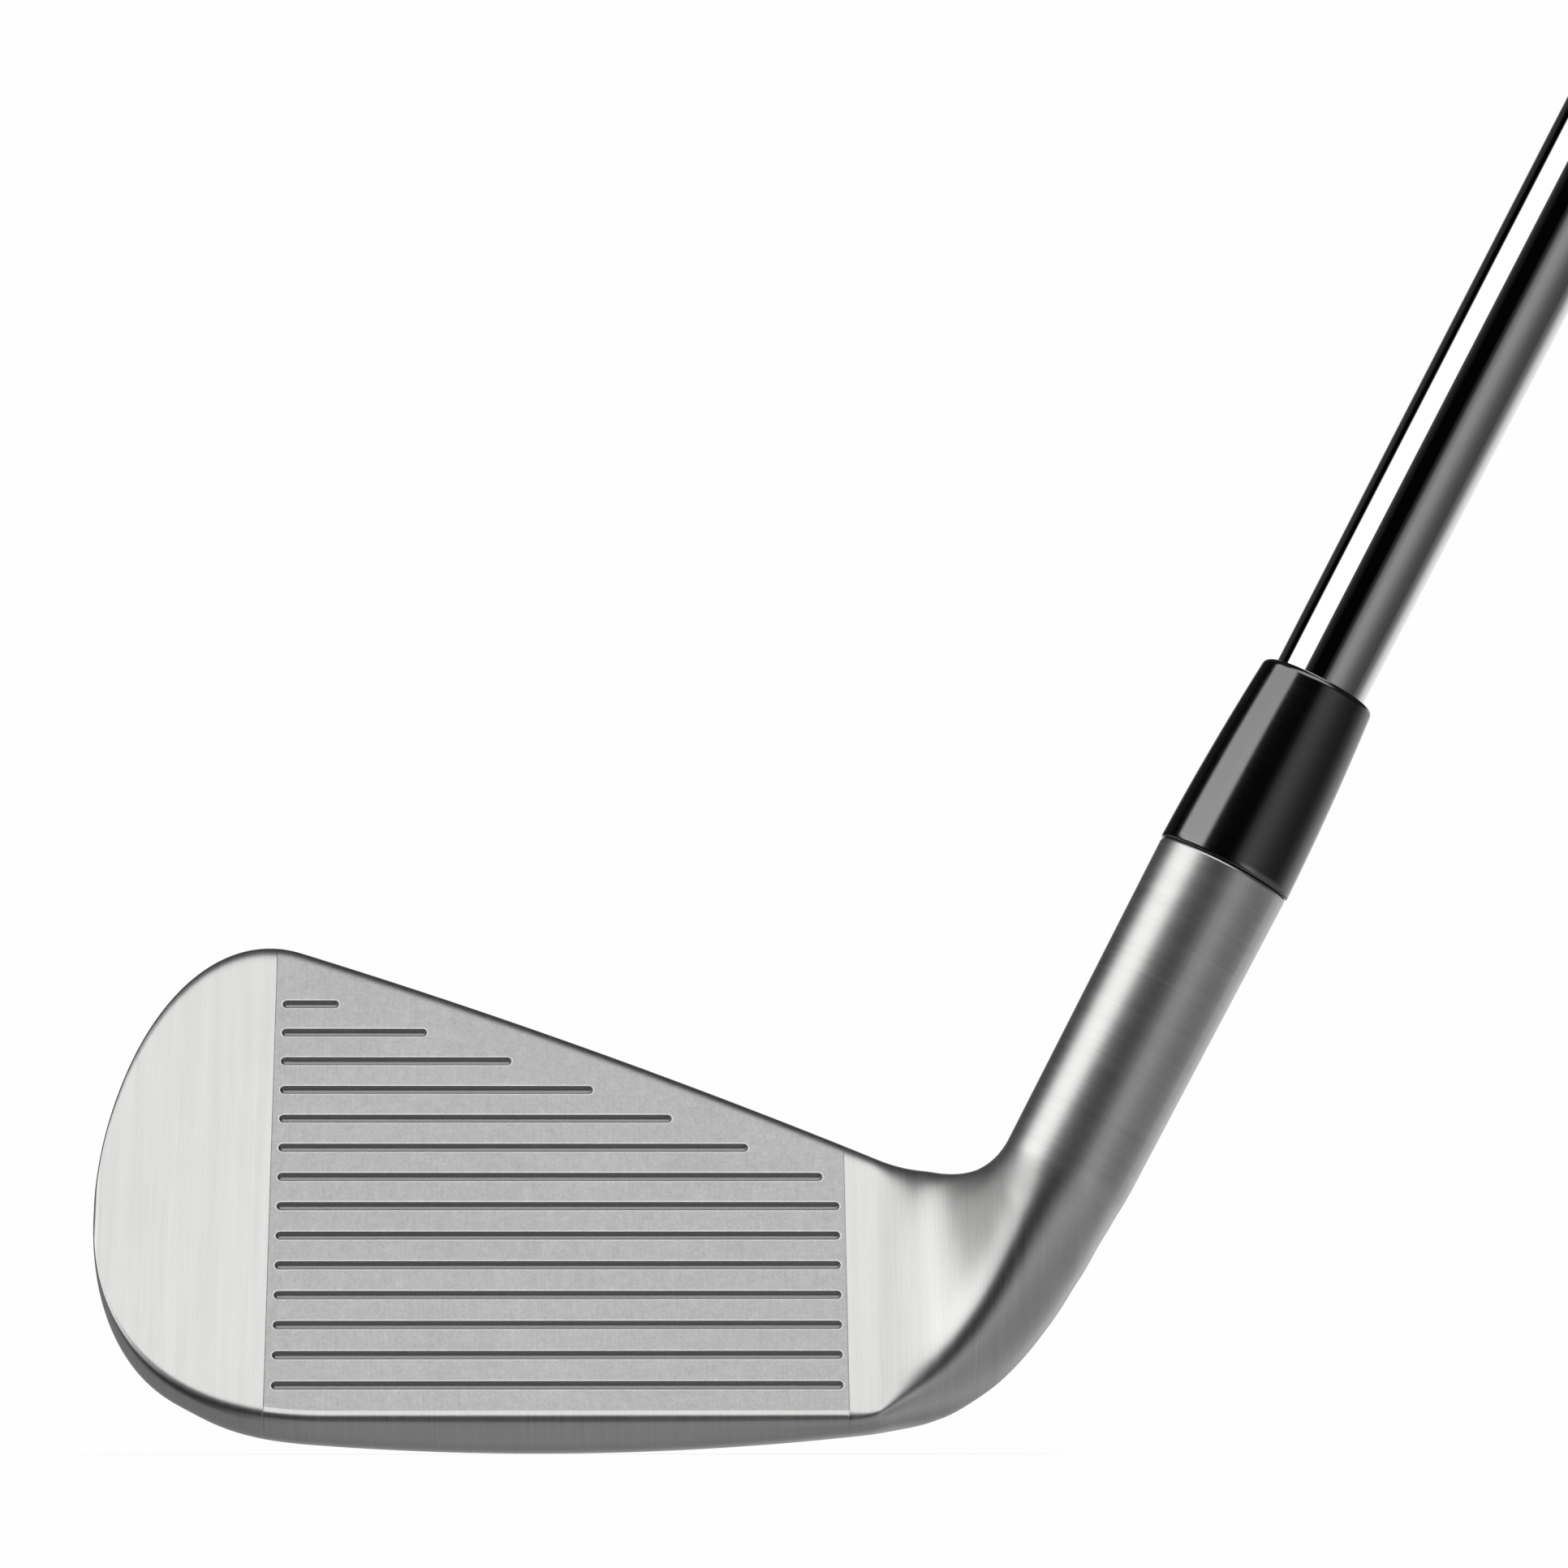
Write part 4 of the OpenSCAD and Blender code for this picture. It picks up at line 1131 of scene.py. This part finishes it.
FINISH = dict(
    head=brushed_steel(),
    face=blasted_steel("steel_blasted", base=0.53, rough=0.42),
    # the groove mouths: a lighter copy of the face steel, painted highlight
    lip=blasted_steel("steel_lip_painted_highlight", base=0.62, rough=0.33),
    # the groove walls and floors: darker steel, partly painted shade
    groove=groove_steel_painted_shade(),
    chrome=mirror_chrome(),
    ferrule=gloss_plastic(),
    grip=rubber("rubber_grip", base=0.022, rough=0.62, grain=1.6),
    cap=rubber("rubber_cap", base=0.018, rough=0.5, grain=1.2, depth=0.00003),
    base=rubber("plastic_badge", base=0.02, rough=0.42, grain=2.2, depth=0.00002),
    damper=rubber("rubber_damper", base=0.03, rough=0.7, grain=1.0),
    badge=speckled("aluminium_badge", dark=(0.50, 0.51, 0.53), light=(0.74, 0.75, 0.77),
                   rough=0.30, grain=1.0,
                   brush=((ALONG_X, 0.12), (FACE_UP, 4.5), (FACE_BACK, 0.1))),
    caps=speckled("steel_cap", dark=(0.55, 0.55, 0.56), light=(0.78, 0.78, 0.79),
                  rough=0.26, grain=2.5),
    tungsten=speckled("tungsten", dark=(0.20, 0.20, 0.21), light=(0.34, 0.34, 0.35),
                      rough=0.45, grain=3.0, depth=0.00001),
    brass=speckled("brass", dark=(0.62, 0.42, 0.16), light=(0.85, 0.66, 0.32),
                   rough=0.32, grain=2.0),
    epoxy=speckled("epoxy", dark=(0.45, 0.36, 0.16), light=(0.66, 0.56, 0.30),
                   rough=0.30, grain=0.8, depth=0.00001, metallic=0.0),
    foam=speckled("foam_tape", dark=(0.62, 0.61, 0.58), light=(0.82, 0.81, 0.77),
                  rough=0.85, grain=2.6, depth=0.00006, metallic=0.0),
    paper=speckled("paper_tape", dark=(0.66, 0.60, 0.46), light=(0.83, 0.77, 0.62),
                   rough=0.80, grain=1.8, depth=0.00004, metallic=0.0),
    film=speckled("film_band", dark=(0.03, 0.032, 0.036), light=(0.07, 0.072, 0.08),
                  rough=0.28, grain=1.2, depth=0.000003, metallic=0.0),
    silver=speckled("film_silver", dark=(0.45, 0.46, 0.48), light=(0.66, 0.67, 0.69),
                    rough=0.25, grain=1.4, depth=0.000003),
)


# ---------------------------------------------------------------- pieces
def piece(shape, name, finishes, slot, node, **options):
    """Makes an object that stands for a CAD node."""
    made = make_object(shape, name, [FINISH[finish] for finish in finishes], **options)
    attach(made, "root")
    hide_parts(node)


piece(head_shape(), "head_forging", ["head"], "head_steel", "head_body")
piece(plate_shape(), "face_plate_milled", ["face", "groove", "head", "lip"],
      "face_steel", "face_plate")
piece(badge_base_shape(), "badge_moulding", ["base"], "badge_plastic", "badge_base")
piece(badge_plate_shape(), "badge_metal", ["badge", "base"], "badge_metal", "badge_plate")
piece(port_caps_shape(), "weight_port_caps", ["caps"], "cap_steel", "weight_caps")
piece(lathe(ferrule_profile(), segments=160), "ferrule_turned", ["ferrule"],
      "ferrule_plastic", "ferrule", sharp=50)
piece(lathe(shaft_profile(), segments=192, close_start=True), "shaft_tube", ["chrome"],
      "shaft_chrome", "shaft", sharp=50)
piece(lathe(band_profile(), segments=160, second_slot=BAND_SILVER), "shaft_label_blank",
      ["film", "silver"], "band_film", "shaft_band")
piece(grip_shape(), "grip_sleeve", ["grip"], "grip_rubber", "grip", sharp=60, weighted=False)
piece(lathe(cap_profile()), "grip_end_cap", ["cap"], "cap_rubber", "grip_cap", sharp=45)

# CAD nodes that keep their meshes; those replaced above get their stand-in's finish
NODE_FINISH = dict(
    toe_weight="tungsten", heel_weight="tungsten", face_damper="damper", badge_tape="foam",
    tip_weight="brass", hosel_epoxy="epoxy", grip_tape="paper",
    head_body="head", face_plate="face", badge_base="base", badge_plate="badge",
    weight_caps="caps", ferrule="ferrule", shaft="chrome", shaft_band="film", grip="grip",
    grip_cap="cap")
for node_name, finish_name in NODE_FINISH.items():
    node_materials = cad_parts[node_name].data.materials
    node_materials.clear()
    node_materials.append(FINISH[finish_name])


# ---------------------------------------------------------------- floor
FLOOR_RADII, FLOOR_Z = (40, 120, 400, 1200, 3000), -0.02


def floor_material():
    """Near white with soft contact shade to the camera, a dim glow to everything else."""
    material = bpy.data.materials.new("floor_pale")
    g = Nodes(material)
    open_sky = g.node("AmbientOcclusion", {"Distance": 0.03}, samples=8).outputs["AO"]
    brightness = g.ramp(open_sky, over=(0.2, 1.0), give=(0.80, 0.99), kind="LINEAR")
    seen = g.node("Emission", {"Color": WHITE, "Strength": brightness}).outputs[0]
    felt = g.node("Emission", {"Color": WHITE, "Strength": 0.24}).outputs[0]
    is_camera = g.node("LightPath").outputs["Is Camera Ray"]
    mixed = g.node("MixShader", {0: is_camera, 1: felt, 2: seen}).outputs[0]
    g.node("OutputMaterial", {0: mixed})
    return material


def floor_shape():
    shape = Shape()
    rings = [shape.add([(radius * math.cos(a), radius * math.sin(a), FLOOR_Z)
                        for a in circle_angles(96)]) for radius in FLOOR_RADII]
    shape.chain(rings)
    shape.face(rings[0])
    return shape


floor = make_object(floor_shape(), "floor", [floor_material()], weighted=False)
floor.visible_glossy = False              # the light tent stands in for the floor in reflections

# ---------------------------------------------------------------- light: a procedural light tent
STRIPS = [                                # degrees round the shaft from the front, brightness
    (-180, .30), (-140, .215), (-128, .18), (-106, .052), (-89, .0165), (-74, .020),
    (-60, .030), (-47, .051), (-35, .072), (-23, .078), (-11, .046), (-4, .009), (4, .0003),
    (30, .0003), (42, .005), (50, .02), (54, 1.0), (104, 1.0), (109, .02), (128, .010),
    (150, .012), (163, .04), (172, .28), (180, .30)]


def strip_light(g, around, up, z):
    """Upright strips round the shaft; around is the angle in radians, toward the toe side."""
    turn = g.add(g.mul(around, 1 / (2 * math.pi)), 0.5)
    table = g.node("ValToRGB", {0: turn})
    stops = table.color_ramp.elements
    stops.remove(stops[-1])
    stops[0].color = (STRIPS[0][1],) * 3 + (1,)
    for degrees, value in STRIPS[1:]:
        stops.new((degrees + 180) / 360).color = (value,) * 3 + (1,)
    gain = g.ramp(around, over=(0.9, 0.93), give=(3.3, 1.66), kind="LINEAR")
    light = g.mul(table.outputs[0], gain)
    light = g.mul(light, g.plus(1.0, g.ramp(around, over=(1.95, 2.1)), amount=0.57))
    # lower down the toe side strip is narrower, and it dims where it nears the overhead box
    shift = g.ramp(up, over=(0.13, -0.05), give=(0.0, 0.20))
    past = g.ramp(g.add(around, shift), over=(1.75, 1.95), give=(1.0, 0.02))
    past = g.math("MAXIMUM", past, g.ramp(around, over=(2.1, 2.4)))
    return g.mul(light, g.mul(past, g.ramp(z, over=(0.50, 0.72), give=(1.0, 0.75))))


def overhead_box(g, view, front):
    """The soft box that the face looks into, bounded by its elevation in degrees and by x."""
    rise = g.mul(g.math("ARCTAN2", g.dot(view, ALONG_Z), front), 180 / math.pi)
    box = g.mul(g.ramp(rise, over=(33.0, 41.0)), g.ramp(rise, over=(68.0, 84.0), give=(1.0, 0.0)))
    aside = g.math("ABSOLUTE", g.dot(view, ALONG_X))
    box = g.mul(box, g.ramp(aside, over=(0.45, 0.75), give=(1.0, 0.0)))
    power, ambient = 1.30, 0.035
    return g.add(g.mul(box, power), ambient)


def room_light(g, x, y, z, up):
    """The floor and the dark room, brighter to the heel side, straight below and behind."""
    heel = g.mul(g.ramp(x, over=(0.12, 0.45)), g.ramp(x, over=(0.50, 0.75), give=(1.0, 0.45)))
    level = g.ramp(up, over=(-0.25, 0.0), give=(0.36, 0.80))
    below = g.mul(g.ramp(z, over=(-0.45, -0.80), give=(0.0, 0.72)),
                  g.ramp(x, over=(-0.60, -0.05), give=(0.15, 1.0)))
    behind = g.ramp(y, over=(-0.1, 0.4), give=(0.0, 0.55))
    brightest = g.math("MAXIMUM", heel, g.math("MAXIMUM", below, behind))
    darkest = 0.012
    return g.plus(darkest, brightest, amount=level)


def build_world():
    world = bpy.data.worlds.new("studio")
    bpy.context.scene.world = world
    g = Nodes(world)
    view = g.node("TexCoord").outputs["Generated"]
    toeward, front, up = (g.dot(view, d) for d in (SHAFT_TOEWARD, (0.0, -1.0, 0.0), SHAFT_UP))
    x, y, z = (g.dot(view, d) for d in (ALONG_X, ALONG_Y, ALONG_Z))
    strips = strip_light(g, g.math("ARCTAN2", toeward, front), up, z)
    room = room_light(g, x, y, z, up)
    light = g.blend(g.ramp(up, over=(0.36, 0.52)), strips, overhead_box(g, view, front))
    light = g.blend(g.ramp(up, over=(-0.12, -0.32)), light, room)
    low_heel = g.mul(g.ramp(up, over=(0.125, 0.0)), g.ramp(x, over=(0.05, 0.25)))
    light = g.blend(low_heel, light, room)
    is_camera = g.node("LightPath").outputs["Is Camera Ray"]
    backdrop = 0.99
    strength = g.blend(is_camera, light, backdrop)
    shader = g.node("Background", {"Color": WHITE, "Strength": strength}).outputs[0]
    g.node("OutputWorld", {0: shader})


build_world()

# ---------------------------------------------------------------- camera
CAMERA_AT = (-0.032473, -0.670908, 0.001111)           # metres
CAMERA_YAW, CAMERA_PITCH, CAMERA_ROLL = 1.645, 5.483, -0.06
LENS = 157.45341615                       # focal length, mm


def build_camera():
    data = bpy.data.cameras.new("camera")
    camera = bpy.data.objects.new("camera", data)
    bpy.context.scene.collection.objects.link(camera)
    yaw, pitch, roll = map(math.radians, (CAMERA_YAW, CAMERA_PITCH, CAMERA_ROLL))
    forward = Vector((math.sin(yaw) * math.cos(pitch), math.cos(yaw) * math.cos(pitch),
                      math.sin(pitch)))
    level = Vector((math.cos(yaw), -math.sin(yaw), 0))
    upright = level.cross(forward)
    right = level * math.cos(roll) + upright * math.sin(roll)
    up = upright * math.cos(roll) - level * math.sin(roll)
    rows = [(right[i], up[i], -forward[i], CAMERA_AT[i]) for i in range(3)]
    camera.matrix_world = Matrix((*rows, (0, 0, 0, 1)))
    data.sensor_width = 36.0
    data.lens = LENS
    data.clip_start, data.clip_end = 0.01, 20
    bpy.context.scene.camera = camera


build_camera()
view_settings = bpy.context.scene.view_settings
view_settings.view_transform = "Standard"
view_settings.look = "None"
view_settings.exposure = 0.0
view_settings.gamma = 1.0
